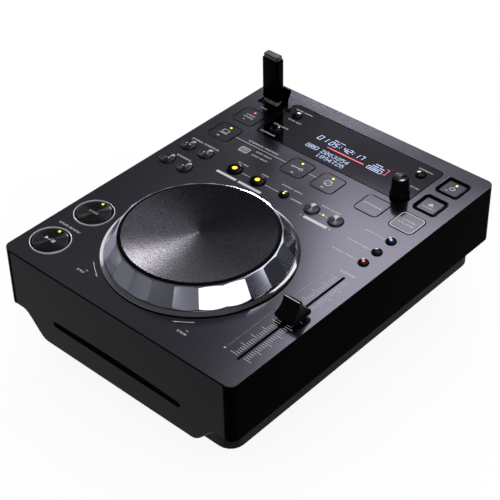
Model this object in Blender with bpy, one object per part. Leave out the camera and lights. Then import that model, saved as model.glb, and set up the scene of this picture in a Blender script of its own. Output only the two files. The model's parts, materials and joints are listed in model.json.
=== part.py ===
"""Tabletop disc player for mixing: a flat-topped console with a large scalloped jog wheel.

Metres, +Z up. X runs to the player's right, Y to its back and Z up from the table under its feet.
The origin is on the table, under the middle of the player with its jacks.
"""
import math

import bmesh
import bpy
from mathutils import Matrix, Vector

# Housing sizes
JOG_RADIUS = 0.0700
SIDE_MARGIN = 0.03925
FRONT_MARGIN = 0.0169
BACK_DECK = 0.1301
BODY_CORNER = 0.0062
FOOT_HEIGHT = 0.0123
PAN_DROP = 0.0080
BODY_HEIGHT = 0.0700
TRAY_HEIGHT = 0.0208
SHELL_WALL = 0.0026
SHELL_RIM = 0.0010
GAP = 0.0003
OVERRUN = 0.0100
EDGE_BREAK = 0.0005
HALF_WIDTH = JOG_RADIUS + SIDE_MARGIN
WHEEL_ZONE = FRONT_MARGIN + 2 * JOG_RADIUS
HALF_DEPTH = (WHEEL_ZONE + BACK_DECK) / 2
BODY_WIDTH = 2 * HALF_WIDTH
BODY_DEPTH = 2 * HALF_DEPTH
JOG_Y = FRONT_MARGIN + JOG_RADIUS - HALF_DEPTH

# Heights of the main levels
BASE_UNDER = FOOT_HEIGHT + PAN_DROP
PANEL_TOP = BASE_UNDER + BODY_HEIGHT
SHELL_BOTTOM = BASE_UNDER + TRAY_HEIGHT

# Top panel
PANEL_THICK = 0.0025
PANEL_CORNER = 0.0050
POST_RADIUS = 0.0030
BOARD_DROP = 0.0095
BOARD_THICK = 0.0016
SWITCH_SIZE = 0.0060
SWITCH_HEIGHT = 0.0028
SWITCH_CORNER = 0.0004
PUSHER_RADIUS = 0.0017
PRESS_TRAVEL = 0.0012

# Lower tray
BASE_SIDE_INSET = 0.00825
BASE_FRONT_INSET = 0.0075
BASE_BACK_INSET = 0.0095
BASE_HALF_WIDTH = HALF_WIDTH - BASE_SIDE_INSET
BASE_FRONT = HALF_DEPTH - BASE_FRONT_INSET
BASE_BACK = HALF_DEPTH - BASE_BACK_INSET
BASE_CORNER = 0.0115
BASE_WALL = 0.0024
BASE_LIP = 0.0013
PAN_INSET = 0.0120
PAN_CORNER = 0.0070
PAN_CHAMFER = 0.0020
FOOT_RADIUS = 0.0130
FOOT_TOP_RADIUS = 0.0115
FOOT_SIDE_INSET = 0.0370
FOOT_FRONT_INSET = 0.0410
FOOT_BACK_INSET = 0.0390
FOOT_SPAN_X = BASE_HALF_WIDTH - FOOT_SIDE_INSET
FOOT_FRONT = BASE_FRONT - FOOT_FRONT_INSET
FOOT_BACK = BASE_BACK - FOOT_BACK_INSET
FOOT_HOLLOW = 0.0060
FOOT_DISH = 0.0030

# Front fascia and disc slot
FASCIA_SIDE_INSET = 0.00705
FASCIA_HALF_WIDTH = HALF_WIDTH - FASCIA_SIDE_INSET
FASCIA_THICK = 0.0023
FASCIA_EDGE = 0.0009
FASCIA_TOP_DROP = 0.0012
FASCIA_LIFT = 0.0022
FASCIA_CURVE_INSET = 0.0140
FASCIA_CURVE_RUN = 0.0235
FASCIA_CURVE_OUT = HALF_WIDTH - FASCIA_CURVE_INSET
FASCIA_CURVE_IN = FASCIA_CURVE_OUT - FASCIA_CURVE_RUN
SLOT_HALF_WIDTH = 0.0622
SLOT_HEIGHT = 0.0050
SLOT_RISE = 0.0042
SLOT_Z = SHELL_BOTTOM + SLOT_RISE
SLOT_DISH_RISE = 0.0017
SLOT_DISH_DEPTH = 0.0016

# Display window
WINDOW_LEFT_SHARE = 0.6499
WINDOW_RIGHT_SHARE = 0.6682
WINDOW_FRONT_SHARE = 0.4842
WINDOW_BACK_SHARE = 0.1076
WINDOW_LEFT = WINDOW_LEFT_SHARE * HALF_WIDTH
WINDOW_RIGHT = WINDOW_RIGHT_SHARE * HALF_WIDTH
WINDOW_FRONT = HALF_DEPTH - WINDOW_FRONT_SHARE * BACK_DECK
WINDOW_BACK = HALF_DEPTH - WINDOW_BACK_SHARE * BACK_DECK
WINDOW_CORNER = 0.0035
WINDOW_THICK = 0.0010
DISPLAY_CENTRE_Y = (WINDOW_FRONT + WINDOW_BACK) / 2
DISPLAY_WIDTH = 0.0820
DISPLAY_DEPTH = 0.0360
DISPLAY_THICK = 0.0070
DISPLAY_FRAME = 0.0022

# Jog wheel, with heights above the top panel
SCALLOPS = 23
SCALLOP_STEPS = 4
SCALLOP_DEPTH = 0.0011
JOG_TOP = 0.0168
JOG_TOP_INSET = 0.0114
JOG_TOP_RADIUS = JOG_RADIUS - JOG_TOP_INSET
JOG_WALL = 0.0020
JOG_FACET_FOOT = 0.0026
JOG_FACET_INSET = 0.0035
JOG_FACET_RADIUS = JOG_RADIUS - JOG_FACET_INSET
JOG_GROOVE_INSET = 0.0032
JOG_GROOVE_RADIUS = JOG_RADIUS - JOG_GROOVE_INSET
JOG_GROOVE = 0.0016
JOG_RIM_WIDTH = 0.0026
JOG_RIM_INNER = JOG_RADIUS - JOG_RIM_WIDTH
JOG_RIM_TOP = 0.0022
JOG_CLEARANCE = 0.0007
JOG_LEDGE_WIDTH = 0.0033
PLATE_INSET = 0.0018
PLATE_RADIUS = JOG_TOP_RADIUS - PLATE_INSET
JOG_LEDGE_RADIUS = PLATE_RADIUS - JOG_LEDGE_WIDTH
PLATE_TOP = 0.0176
PLATE_THICK = 0.0021
PLATE_GAP = 0.0010
PLATE_BOSS = 0.0090
HUB_BORE = 0.0110
HUB_SLEEVE = 0.0146
HUB_WEB = 0.0018
JOG_SHAFT_RADIUS = 0.0050
BEARING_HEIGHT = 0.0050
POST_FLANGE_RADIUS = 0.0130
POST_FLANGE = 0.0012
POST_SPIGOT = 0.0060
POST_HOLE_CLEAR = 0.0003
BOSS_CLEARANCE = 0.0012

# Play and cue buttons
BIG_X_SHARE = -0.8082
BIG_X = BIG_X_SHARE * HALF_WIDTH
PLAY_Y_SHARE = 0.1689
PLAY_Y = PLAY_Y_SHARE * WHEEL_ZONE - HALF_DEPTH
CUE_Y_SHARE = 0.4366
CUE_Y = CUE_Y_SHARE * WHEEL_ZONE - HALF_DEPTH
BIG_RADIUS = 0.0132
BIG_RISE = 0.0010
RING_RADIUS = 0.0152
RING_RISE = 0.0012
RING_SHELF = 0.0005
RING_SPIGOT = 0.0145

# Round buttons
ROUND_FLANGE = 0.0011
FLANGE_THICK = 0.0010
HOLE_CLEAR = 0.0004
SEARCH_RADIUS = 0.0062
LOOP_RADIUS = 0.0063
BEAT_RADIUS = 0.0060
SMALL_RADIUS = 0.0039
MENU_RADIUS = 0.0042
DOME_RISE = 0.0016
BUTTON_EDGE = 0.0007

# Square keys and framed keys
KEY_SIZE = 0.0203
KEY_CORNER = 0.0028
KEY_RISE = 0.0002
KEY_CLEAR = 0.00035
BEZEL_SIZE = 0.0204
BEZEL_RISE = 0.0012
BEZEL_SHELF = 0.0012
BEZEL_MOUTH = 0.0178
FRAMED_KEY_SIZE = 0.0152
FRAMED_KEY_DROP = 0.0004

# Places of the controls on the top panel
TRACK_ROW_SHARE = 0.8578
TRACK_ROW = HALF_DEPTH - TRACK_ROW_SHARE * BACK_DECK
SEARCH_ROW_SHARE = 1.0361
SEARCH_ROW = HALF_DEPTH - SEARCH_ROW_SHARE * BACK_DECK
BACK_COLUMN_SHARE = -0.8851
BACK_COLUMN = BACK_COLUMN_SHARE * HALF_WIDTH
FORWARD_COLUMN_SHARE = -0.7213
FORWARD_COLUMN = FORWARD_COLUMN_SHARE * HALF_WIDTH
KEY_ROW_SHARE = 0.6149
KEY_ROW = HALF_DEPTH - KEY_ROW_SHARE * BACK_DECK
LEFT_KEY_COLUMN_SHARE = -0.8046
LEFT_KEY_COLUMN = LEFT_KEY_COLUMN_SHARE * HALF_WIDTH
STICK_KEY_X_SHARE = -0.1272
STICK_KEY_X = STICK_KEY_X_SHARE * HALF_WIDTH
DISC_KEY_X_SHARE = 0.1437
DISC_KEY_X = DISC_KEY_X_SHARE * HALF_WIDTH
PLAYLIST_X_SHARE = 0.5272
PLAYLIST_X = PLAYLIST_X_SHARE * HALF_WIDTH
RIGHT_KEY_COLUMN_SHARE = 0.8137
RIGHT_KEY_COLUMN = RIGHT_KEY_COLUMN_SHARE * HALF_WIDTH
STICK_STOP_Y_SHARE = 0.3982
STICK_STOP_Y = HALF_DEPTH - STICK_STOP_Y_SHARE * BACK_DECK
EJECT_Y_SHARE = 0.4020
EJECT_Y = HALF_DEPTH - EJECT_Y_SHARE * BACK_DECK
STANDBY_Y_SHARE = 0.1906
STANDBY_Y = HALF_DEPTH - STANDBY_Y_SHARE * BACK_DECK
LOOP_ROW_SHARE = 0.8609
LOOP_ROW = HALF_DEPTH - LOOP_ROW_SHARE * BACK_DECK
LOOP_IN_X_SHARE = -0.4430
LOOP_IN_X = LOOP_IN_X_SHARE * HALF_WIDTH
LOOP_OUT_X_SHARE = -0.2343
LOOP_OUT_X = LOOP_OUT_X_SHARE * HALF_WIDTH
RELOOP_X_SHARE = 0.0018
RELOOP_X = RELOOP_X_SHARE * HALF_WIDTH
BEAT_HALF_X_SHARE = 0.2471
BEAT_HALF_X = BEAT_HALF_X_SHARE * HALF_WIDTH
BEAT_DOUBLE_X_SHARE = 0.4513
BEAT_DOUBLE_X = BEAT_DOUBLE_X_SHARE * HALF_WIDTH
SMALL_COLUMN_SHARE = 0.8531
SMALL_COLUMN = SMALL_COLUMN_SHARE * HALF_WIDTH
VINYL_Y_SHARE = 0.8017
VINYL_Y = HALF_DEPTH - VINYL_Y_SHARE * BACK_DECK
RANGE_Y_SHARE = 0.9239
RANGE_Y = HALF_DEPTH - RANGE_Y_SHARE * BACK_DECK
MASTER_Y_SHARE = 1.0400
MASTER_Y = HALF_DEPTH - MASTER_Y_SHARE * BACK_DECK
MENU_COLUMN_SHARE = -0.5501
MENU_COLUMN = MENU_COLUMN_SHARE * HALF_WIDTH
TIME_Y_SHARE = 0.2045
TIME_Y = HALF_DEPTH - TIME_Y_SHARE * BACK_DECK
MENU_Y_SHARE = 0.3997
MENU_Y = HALF_DEPTH - MENU_Y_SHARE * BACK_DECK
BACK_X_SHARE = 0.5584
BACK_X = BACK_X_SHARE * HALF_WIDTH
BACK_Y_SHARE = 0.2052
BACK_Y = HALF_DEPTH - BACK_Y_SHARE * BACK_DECK

# Turn-and-push selector
ROTARY_X_SHARE = 0.5895
ROTARY_X = ROTARY_X_SHARE * HALF_WIDTH
ROTARY_Y_SHARE = 0.4381
ROTARY_Y = HALF_DEPTH - ROTARY_Y_SHARE * BACK_DECK
ROTARY_SKIRT = 0.0077
ROTARY_FOOT = 0.0066
ROTARY_HEAD = 0.0059
ROTARY_TOP = 0.0169
ROTARY_LIFT = 0.0012
ROTARY_SKIRT_TOP = 0.0026
ROTARY_RIBS = 12
RIB_STEPS = 3
RIB_DEPTH = 0.0004
SHAFT_RADIUS = 0.0030
SHAFT_TOP = 0.0120
SHAFT_FIT = 0.0003
SHAFT_LIFT = 0.0017
BUSH_RADIUS = 0.0042
BUSH_TOP = 0.0004
ENCODER_SIZE = 0.0125
ENCODER_HEIGHT = 0.0055

# Tempo slider
SLIDER_X_SHARE = 0.8558
SLIDER_X = SLIDER_X_SHARE * HALF_WIDTH
SLIDER_FRONT_SHARE = 0.1460
SLIDER_BACK_SHARE = 0.8356
SLIDER_FRONT = HALF_DEPTH - SLIDER_FRONT_SHARE * WHEEL_ZONE
SLIDER_BACK = HALF_DEPTH - SLIDER_BACK_SHARE * WHEEL_ZONE
SLIDER_SLOT = 0.0022
CAP_WIDTH = 0.0180
CAP_LENGTH = 0.0190
CAP_RIDGE_WIDTH = 0.0138
CAP_RIDGE_LENGTH = 0.0023
CAP_TOP = 0.0162
CAP_SKIRT = 0.0036
CAP_LIFT = 0.0006
CAP_CORNER = 0.0008
CAP_STEPS = 7
LEVER_THICK = 0.0014
LEVER_LENGTH = 0.0050
LEVER_TOP = 0.0085
TRACK_WIDTH = 0.0090
TRACK_HEIGHT = 0.0075
TRACK_WALL = 0.0012
TRACK_EXTRA = 0.0090
CARRIAGE_LENGTH = 0.0090

# Stick port, its cover and the memory stick standing in it
PORT_X_SHARE = -0.8009
PORT_X = PORT_X_SHARE * HALF_WIDTH
PORT_Y_SHARE = 0.1883
PORT_Y = HALF_DEPTH - PORT_Y_SHARE * BACK_DECK
PORT_WIDTH = 0.0224
PORT_DEPTH = 0.0140
PORT_CORNER = 0.0010
PORT_DROP = 0.0005
PORT_HEIGHT = 0.0140
PORT_HOLE_WIDTH = 0.0126
PORT_HOLE_DEPTH = 0.0051
PORT_HOLE_OFFSET = 0.0005
PORT_HOLE_Y = PORT_Y + PORT_HOLE_OFFSET
PORT_FLANGE = 0.0012
COVER_THICK = 0.0012
COVER_LENGTH = 0.0112
COVER_WIDTH = 0.0206
COVER_CORNER = 0.0020
COVER_BARREL = 0.0010
COVER_HINGE_OFFSET = 0.0058
COVER_HINGE_Y = PORT_Y + COVER_HINGE_OFFSET
COVER_HINGE_RISE = 0.0006
COVER_LEAN = math.radians(24.0)
STICK_WIDTH = 0.0147
STICK_DEPTH = 0.0074
STICK_CORNER = 0.0014
STICK_FOOT = 0.0030
STICK_TOP = 0.0446
STICK_TAPER = 0.0009
STICK_SHOULDER = 0.0030
PLUG_WIDTH = 0.0120
PLUG_DEPTH = 0.0045
PLUG_LENGTH = 0.0117
PLUG_WALL = 0.0004

# Disc drive
DRIVE_HALF_WIDTH = 0.0700
DRIVE_FRONT_INSET = 0.0102
DRIVE_LENGTH = 0.1473
DRIVE_FLOOR_DROP = 0.0193
DRIVE_TOP_RISE = 0.0107
DRIVE_FRONT = HALF_DEPTH - DRIVE_FRONT_INSET
DRIVE_BACK = DRIVE_LENGTH - DRIVE_FRONT
DRIVE_FLOOR = SLOT_Z - DRIVE_FLOOR_DROP
DRIVE_TOP = SLOT_Z + DRIVE_TOP_RISE
DRIVE_SHEET = 0.0012
DRIVE_FOOT_RADIUS = 0.0040
DRIVE_FOOT_INSET = 0.0120
SPINDLE_REACH = 0.0713
SPINDLE_Y = SPINDLE_REACH - DRIVE_FRONT
TURNTABLE_RADIUS = 0.0145
TURNTABLE_THICK = 0.0022
TURNTABLE_TOP_GAP = 0.0006
CONE_RADIUS = 0.0074
CONE_RISE = 0.0028
MOTOR_RADIUS = 0.0120
MOTOR_HEIGHT = 0.0100
MOTOR_TOP = DRIVE_FLOOR + MOTOR_HEIGHT
SPINDLE_RADIUS = 0.0015
ROLLER_REACH = 0.0071
ROLLER_Y = ROLLER_REACH - DRIVE_FRONT
ROLLER_END_RADIUS = 0.0045
ROLLER_WAIST_RADIUS = 0.0036
ROLLER_END_SPACE = 0.0100
ROLLER_HALF_LENGTH = DRIVE_HALF_WIDTH - ROLLER_END_SPACE
ROLLER_AXLE = 0.0014
CLAMP_RADIUS = 0.0230
CLAMP_RISE = 0.0015

# Boards, sockets and inlet
JACK_RADIUS = 0.0041
JACK_BORE = 0.0016
JACK_REACH = 0.0095
JACK_PITCH = 0.0140
JACK_X_SHARE = 0.5126
JACK_X = JACK_X_SHARE * HALF_WIDTH
JACK_DROP = 0.0263
JACK_Z = PANEL_TOP - JACK_DROP
SOCKET_X_SHARE = 0.1648
SOCKET_X = SOCKET_X_SHARE * HALF_WIDTH
SOCKET_WIDTH = 0.0120
SOCKET_HEIGHT = 0.0108
SOCKET_MOUTH_WIDTH = 0.0085
SOCKET_MOUTH_HEIGHT = 0.0078
SOCKET_DEPTH = 0.0110
JACK_BLOCK_DEPTH = 0.0140
JACK_BLOCK_HEIGHT = 0.0150
INLET_X_SHARE = -0.6590
INLET_X = INLET_X_SHARE * HALF_WIDTH
INLET_DROP = 0.0057
INLET_Z = (SHELL_BOTTOM + PANEL_TOP) / 2 - INLET_DROP
INLET_WIDTH = 0.0240
INLET_HEIGHT = 0.0160
INLET_DEPTH = 0.0200
INLET_MOUTH_WIDTH = 0.0158
INLET_MOUTH_HEIGHT = 0.0086
INLET_MOUTH_DEPTH = 0.0130
PIN_RADIUS = 0.0012
PIN_PITCH = 0.0086
POWER_BOARD_SIDE = 0.01925
POWER_BOARD_GAP = 0.0160
POWER_BOARD_RIGHT_SHARE = 0.1098
POWER_BOARD_FRONT = DRIVE_BACK + POWER_BOARD_GAP
POWER_BOARD_LEFT = HALF_WIDTH - POWER_BOARD_SIDE
POWER_BOARD_RIGHT = POWER_BOARD_RIGHT_SHARE * HALF_WIDTH
POWER_BOARD_INSET = 0.0020
CAN_RADIUS = 0.0080
CAN_HEIGHT = 0.0240
CORE_SIZE = 0.0300
CORE_HEIGHT = 0.0220
CORE_PLACE_SHARE = 0.30
CAN_PLACE_SHARE = 0.65

# Heights and steps that follow from the sizes above
PANEL_UNDER = PANEL_TOP - PANEL_THICK
FASCIA_BOTTOM = BASE_UNDER + FASCIA_LIFT
ROUND_STEPS = 24
BIG_STEPS = 30
PLATE_STEPS = 64
SMALL_STEPS = 12
BUTTON_STEPS = 18
CORNER_STEPS = 5
KEY_STEPS = 3
SLOT_STEPS = 6
SMOOTH_ANGLE = math.radians(32.0)

# Colours as red, green and blue, then roughness and metallic
LOOKS = {
    "satin_panel": ((0.055, 0.055, 0.062), 0.42, 0.25),
    "gloss_black": ((0.006, 0.005, 0.007), 0.12, 0.0),
    "slate_plastic": ((0.060, 0.064, 0.078), 0.55, 0.0),
    "foot_rubber": ((0.012, 0.012, 0.012), 0.85, 0.0),
    "window_gloss": ((0.020, 0.020, 0.024), 0.06, 0.0),
    "display_glass": ((0.010, 0.012, 0.014), 0.20, 0.0),
    "jog_chrome": ((0.62, 0.62, 0.64), 0.14, 1.0),
    "jog_black": ((0.022, 0.022, 0.025), 0.38, 0.6),
    "ring_silver": ((0.60, 0.60, 0.62), 0.25, 1.0),
    "button_black": ((0.014, 0.014, 0.016), 0.25, 0.3),
    "key_grey": ((0.060, 0.060, 0.066), 0.45, 0.2),
    "steel": ((0.45, 0.45, 0.46), 0.35, 1.0),
    "zinc_sheet": ((0.50, 0.51, 0.52), 0.40, 1.0),
    "white_plastic": ((0.70, 0.69, 0.65), 0.50, 0.0),
    "board_green": ((0.020, 0.100, 0.045), 0.50, 0.0),
    "black_plastic": ((0.015, 0.015, 0.017), 0.45, 0.0),
    "roller_rubber": ((0.020, 0.020, 0.020), 0.80, 0.0),
}


def clear_scene():
    for item in list(bpy.data.objects):
        bpy.data.objects.remove(item, do_unlink=True)


def material(look):
    found = bpy.data.materials.get(look)
    if found:
        return found
    colour, roughness, metallic = LOOKS[look]
    made = bpy.data.materials.new(look)
    made.use_nodes = True
    shader = made.node_tree.nodes["Principled BSDF"]
    shader.inputs["Base Color"].default_value = (*colour, 1.0)
    shader.inputs["Roughness"].default_value = roughness
    shader.inputs["Metallic"].default_value = metallic
    return made


def empty(name, place=(0, 0, 0)):
    made = bpy.data.objects.new(name, None)
    made.location = place
    bpy.context.scene.collection.objects.link(made)
    return made


def add_object(name, bm, look, parent, place=(0, 0, 0), turn=(0, 0, 0), smooth=True):
    bmesh.ops.recalc_face_normals(bm, faces=bm.faces)
    mesh = bpy.data.meshes.new(name)
    bm.to_mesh(mesh)
    bm.free()
    if smooth:
        mesh.shade_smooth()
        mesh.set_sharp_from_angle(angle=SMOOTH_ANGLE)
    mesh.materials.append(material(look))
    made = bpy.data.objects.new(name, mesh)
    bpy.context.scene.collection.objects.link(made)
    made.parent = parent
    made.location = place
    made.rotation_euler = turn
    return made


def helper_object(name, bm, parent):
    bmesh.ops.recalc_face_normals(bm, faces=bm.faces)
    mesh = bpy.data.meshes.new(name)
    bm.to_mesh(mesh)
    bm.free()
    made = bpy.data.objects.new(name, mesh)
    bpy.context.scene.collection.objects.link(made)
    made.parent = parent
    made.hide_render = True
    made.display_type = "WIRE"
    return made


def boolean(target, bm, operation, label):
    other = helper_object(f"{target.name}_{label}", bm, target)
    modifier = target.modifiers.new(label, "BOOLEAN")
    modifier.operation = operation
    modifier.solver = "EXACT"
    modifier.object = other
    return other


def cut(target, bm, label="cut"):
    return boolean(target, bm, "DIFFERENCE", label)


def join(target, bm, label="joined"):
    return boolean(target, bm, "UNION", label)


def bevel(target, width, segments=1):
    modifier = target.modifiers.new("edge", "BEVEL")
    modifier.width = width
    modifier.segments = segments
    modifier.limit_method = "ANGLE"
    modifier.angle_limit = math.radians(40.0)


def loft(rings, looped=False, bm=None):
    """Skin a row of point rings; the ends are closed by a face unless the row is looped."""
    bm = bm or bmesh.new()
    rows = []
    for ring in rings:
        rows.append([bm.verts.new(point) for point in ring])
    pairs = list(zip(rows, rows[1:]))
    if looped:
        pairs.append((rows[-1], rows[0]))
    for low, high in pairs:
        bridge_rows(bm, low, high)
    if not looped:
        for end in (rows[0], rows[-1]):
            if len(end) > 2:
                bm.faces.new(end)
    return bm


def bridge_rows(bm, low, high):
    if len(low) == 1 and len(high) == 1:
        return
    count = max(len(low), len(high))
    for index in range(count):
        following = (index + 1) % count
        if len(low) == 1:
            bm.faces.new((low[0], high[following], high[index]))
        elif len(high) == 1:
            bm.faces.new((low[index], low[following], high[0]))
        else:
            bm.faces.new((low[index], low[following], high[following], high[index]))


def circle_points(radius, height, steps, centre=(0, 0), ripple=None):
    if radius == 0:
        return [Vector((centre[0], centre[1], height))]
    points = []
    for index in range(steps):
        angle = 2 * math.pi * index / steps
        reach = radius - (ripple(index) if ripple else 0)
        points.append(Vector((centre[0] + reach * math.cos(angle), centre[1] + reach * math.sin(angle), height)))
    return points


def lathe(profile, steps=ROUND_STEPS, centre=(0, 0), looped=False, bm=None):
    """Turn a profile of (radius, height) pairs about a vertical axis."""
    rings = [circle_points(radius, height, steps, centre) for radius, height in profile]
    return loft(rings, looped, bm)


def rounded_points(width, depth, corner, height, centre=(0, 0), steps=CORNER_STEPS):
    """A rectangle with round corners, at one height."""
    points = []
    signs = ((1, 1), (-1, 1), (-1, -1), (1, -1))
    for turn, (side_x, side_y) in enumerate(signs):
        middle_x = centre[0] + side_x * (width / 2 - corner)
        middle_y = centre[1] + side_y * (depth / 2 - corner)
        for step in range(steps + 1):
            angle = math.pi / 2 * (turn + step / steps)
            points.append(Vector((middle_x + corner * math.cos(angle), middle_y + corner * math.sin(angle), height)))
    return points


def slab(width, depth, corner, low, high, centre=(0, 0), steps=CORNER_STEPS, bm=None):
    rings = [rounded_points(width, depth, corner, z, centre, steps) for z in (low, high)]
    return loft(rings, False, bm)


def box(low, high, bm=None):
    """A plain block between two corners."""
    bm = bm or bmesh.new()
    span = [b - a for a, b in zip(low, high)]
    middle = [(a + b) / 2 for a, b in zip(low, high)]
    placed = Matrix.Translation(middle) @ Matrix.Diagonal((*span, 1.0))
    bmesh.ops.create_cube(bm, size=1.0, matrix=placed)
    return bm


def rod_along(axis, radius, low, high, centre, steps=ROUND_STEPS, bm=None):
    """A cylinder along X or Y, from low to high, about the other two coordinates in centre."""
    rings = []
    for reach in (low, high):
        ring = []
        for index in range(steps):
            angle = 2 * math.pi * index / steps
            first = centre[0] + radius * math.cos(angle)
            second = centre[1] + radius * math.sin(angle)
            ring.append(Vector((reach, first, second)) if axis == "X" else Vector((first, reach, second)))
        rings.append(ring)
    return loft(rings, False, bm)


# Upper case: the gloss housing round the sides, back and front

def upper_case(root):
    low = SHELL_BOTTOM
    rings = [rounded_points(BODY_WIDTH, BODY_DEPTH, BODY_CORNER, z) for z in (low, PANEL_TOP)]
    inner_width = BODY_WIDTH - 2 * SHELL_WALL
    inner_depth = BODY_DEPTH - 2 * SHELL_WALL
    pocket_width = BODY_WIDTH - 2 * SHELL_RIM
    pocket_depth = BODY_DEPTH - 2 * SHELL_RIM
    pocket_corner = BODY_CORNER - SHELL_RIM
    shelf = PANEL_UNDER - GAP
    rings.append(rounded_points(pocket_width, pocket_depth, pocket_corner, PANEL_TOP))
    rings.append(rounded_points(pocket_width, pocket_depth, pocket_corner, shelf))
    rings.append(rounded_points(inner_width, inner_depth, BODY_CORNER - SHELL_WALL, shelf))
    rings.append(rounded_points(inner_width, inner_depth, BODY_CORNER - SHELL_WALL, low))
    case = add_object("upper_case", loft(rings, looped=True), "gloss_black", root)
    case_front_recess(case)
    case_back_holes(case)
    return case


def case_front_recess(case):
    """The front is open between the corner columns, and the fascia closes it under a thin top bar."""
    side = FASCIA_HALF_WIDTH + GAP
    front = -HALF_DEPTH - OVERRUN
    back = -HALF_DEPTH + SHELL_WALL + GAP
    top = PANEL_TOP - FASCIA_TOP_DROP + GAP
    cutter = box((-side, front, SHELL_BOTTOM - OVERRUN), (side, back, top))
    cut(case, cutter, "recess")


def case_back_holes(case):
    near = HALF_DEPTH - SHELL_WALL - OVERRUN
    far = HALF_DEPTH + OVERRUN
    bm = bmesh.new()
    for side in (-1, 1):
        middle = (JACK_X + side * JACK_PITCH / 2, JACK_Z)
        rod_along("Y", JACK_RADIUS + GAP, near, far, middle, ROUND_STEPS // 2, bm)
    reach_x = SOCKET_WIDTH / 2 + GAP
    reach_z = SOCKET_HEIGHT / 2 + GAP
    box((SOCKET_X - reach_x, near, JACK_Z - reach_z), (SOCKET_X + reach_x, far, JACK_Z + reach_z), bm)
    reach_x = INLET_WIDTH / 2 + GAP
    reach_z = INLET_HEIGHT / 2 + GAP
    box((INLET_X - reach_x, near, INLET_Z - reach_z), (INLET_X + reach_x, far, INLET_Z + reach_z), bm)
    cut(case, bm, "sockets")


# Top panel with its holes, the window recess and the posts for the board

def panel_holes():
    bm = bmesh.new()
    low = -PANEL_THICK - OVERRUN
    high = OVERRUN
    rounds = [(x, y, radius + HOLE_CLEAR) for _, x, y, radius, _ in round_buttons()]
    rounds.append((ROTARY_X, ROTARY_Y, BUSH_RADIUS + GAP))
    rounds.append((0, JOG_Y, POST_SPIGOT + POST_HOLE_CLEAR))
    for x, y, radius in rounds:
        steps = BUTTON_STEPS if radius > MENU_RADIUS + HOLE_CLEAR else SMALL_STEPS
        lathe([(radius, low), (radius, high)], steps, (x, y), False, bm)
    for y in (PLAY_Y, CUE_Y):
        lathe([(RING_SPIGOT + GAP, low), (RING_SPIGOT + GAP, high)], BIG_STEPS, (BIG_X, y), False, bm)
    for _, x, y in square_keys():
        size = KEY_SIZE + 2 * KEY_CLEAR
        slab(size, size, KEY_CORNER + KEY_CLEAR, low, high, (x, y), KEY_STEPS, bm)
    for y in (EJECT_Y, STANDBY_Y):
        size = BEZEL_SIZE - 2 * BEZEL_SHELF + 2 * GAP
        slab(size, size, KEY_CORNER - BEZEL_SHELF + GAP, low, high, (RIGHT_KEY_COLUMN, y), KEY_STEPS - 1, bm)
    slab(PORT_WIDTH, PORT_DEPTH, PORT_CORNER, low, high, (PORT_X, PORT_Y), CORNER_STEPS - 2, bm)
    middle = -(SLIDER_FRONT + SLIDER_BACK) / 2
    length = SLIDER_FRONT - SLIDER_BACK
    slab(SLIDER_SLOT, length, SLIDER_SLOT / 4, low, high, (SLIDER_X, middle), 2, bm)
    return bm


def control_panel(root):
    width = BODY_WIDTH - 2 * SHELL_RIM - 2 * GAP
    depth = BODY_DEPTH - 2 * SHELL_RIM - 2 * GAP
    corner = PANEL_CORNER
    rings = [
        rounded_points(width, depth, corner, -PANEL_THICK),
        rounded_points(width, depth, corner, -EDGE_BREAK),
        rounded_points(width - EDGE_BREAK, depth - EDGE_BREAK, corner, 0),
    ]
    panel = add_object("control_panel", loft(rings), "satin_panel", root, (0, 0, PANEL_TOP))
    window_width = WINDOW_LEFT + WINDOW_RIGHT + 2 * GAP
    window_depth = WINDOW_BACK - WINDOW_FRONT + 2 * GAP
    middle = ((WINDOW_RIGHT - WINDOW_LEFT) / 2, (WINDOW_FRONT + WINDOW_BACK) / 2)
    recess = slab(window_width, window_depth, WINDOW_CORNER + GAP, -WINDOW_THICK - GAP, OVERRUN, middle)
    cut(panel, recess, "window_recess")
    bm = panel_holes()
    view_width = DISPLAY_WIDTH - 2 * DISPLAY_FRAME
    view_depth = DISPLAY_DEPTH - 2 * DISPLAY_FRAME
    low = -PANEL_THICK - OVERRUN
    slab(view_width, view_depth, DISPLAY_FRAME, low, OVERRUN, (0, DISPLAY_CENTRE_Y), 2, bm)
    cut(panel, bm, "holes")
    join(panel, panel_posts(), "posts")
    return panel


def panel_posts():
    """Short posts under the panel carry the board that the buttons press on."""
    bm = bmesh.new()
    reach = BOARD_DROP - PANEL_THICK - GAP
    for x, y in board_post_places():
        profile = [(POST_RADIUS, -PANEL_THICK - reach), (POST_RADIUS, -PANEL_THICK + GAP)]
        lathe(profile, ROUND_STEPS // 4, (x, y), False, bm)
    return bm


def board_post_places():
    edge = HALF_WIDTH - SHELL_WALL - 2 * POST_RADIUS
    back = HALF_DEPTH - SHELL_WALL - 2 * POST_RADIUS
    places = []
    for side in (-1, 1):
        places.append((side * edge, back))
        places.append((side * edge, KEY_ROW - KEY_SIZE))
    places.append((0, back))
    return places


# Front fascia, with the curved lower outline and the disc slot

def fascia_outline():
    """Outline in X and Z; the lower edge steps up to the housing in two S-curves."""
    top = PANEL_TOP - FASCIA_TOP_DROP
    rise = SHELL_BOTTOM - FASCIA_BOTTOM
    steps = 9
    right = [(FASCIA_HALF_WIDTH, top), (FASCIA_HALF_WIDTH, SHELL_BOTTOM)]
    for index in range(steps + 1):
        share = 1 - index / steps
        lift = share * share * (3 - 2 * share)
        x = FASCIA_CURVE_IN + (FASCIA_CURVE_OUT - FASCIA_CURVE_IN) * share
        right.append((x, FASCIA_BOTTOM + rise * lift))
    left = [(-x, z) for x, z in reversed(right)]
    return right + left


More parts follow.
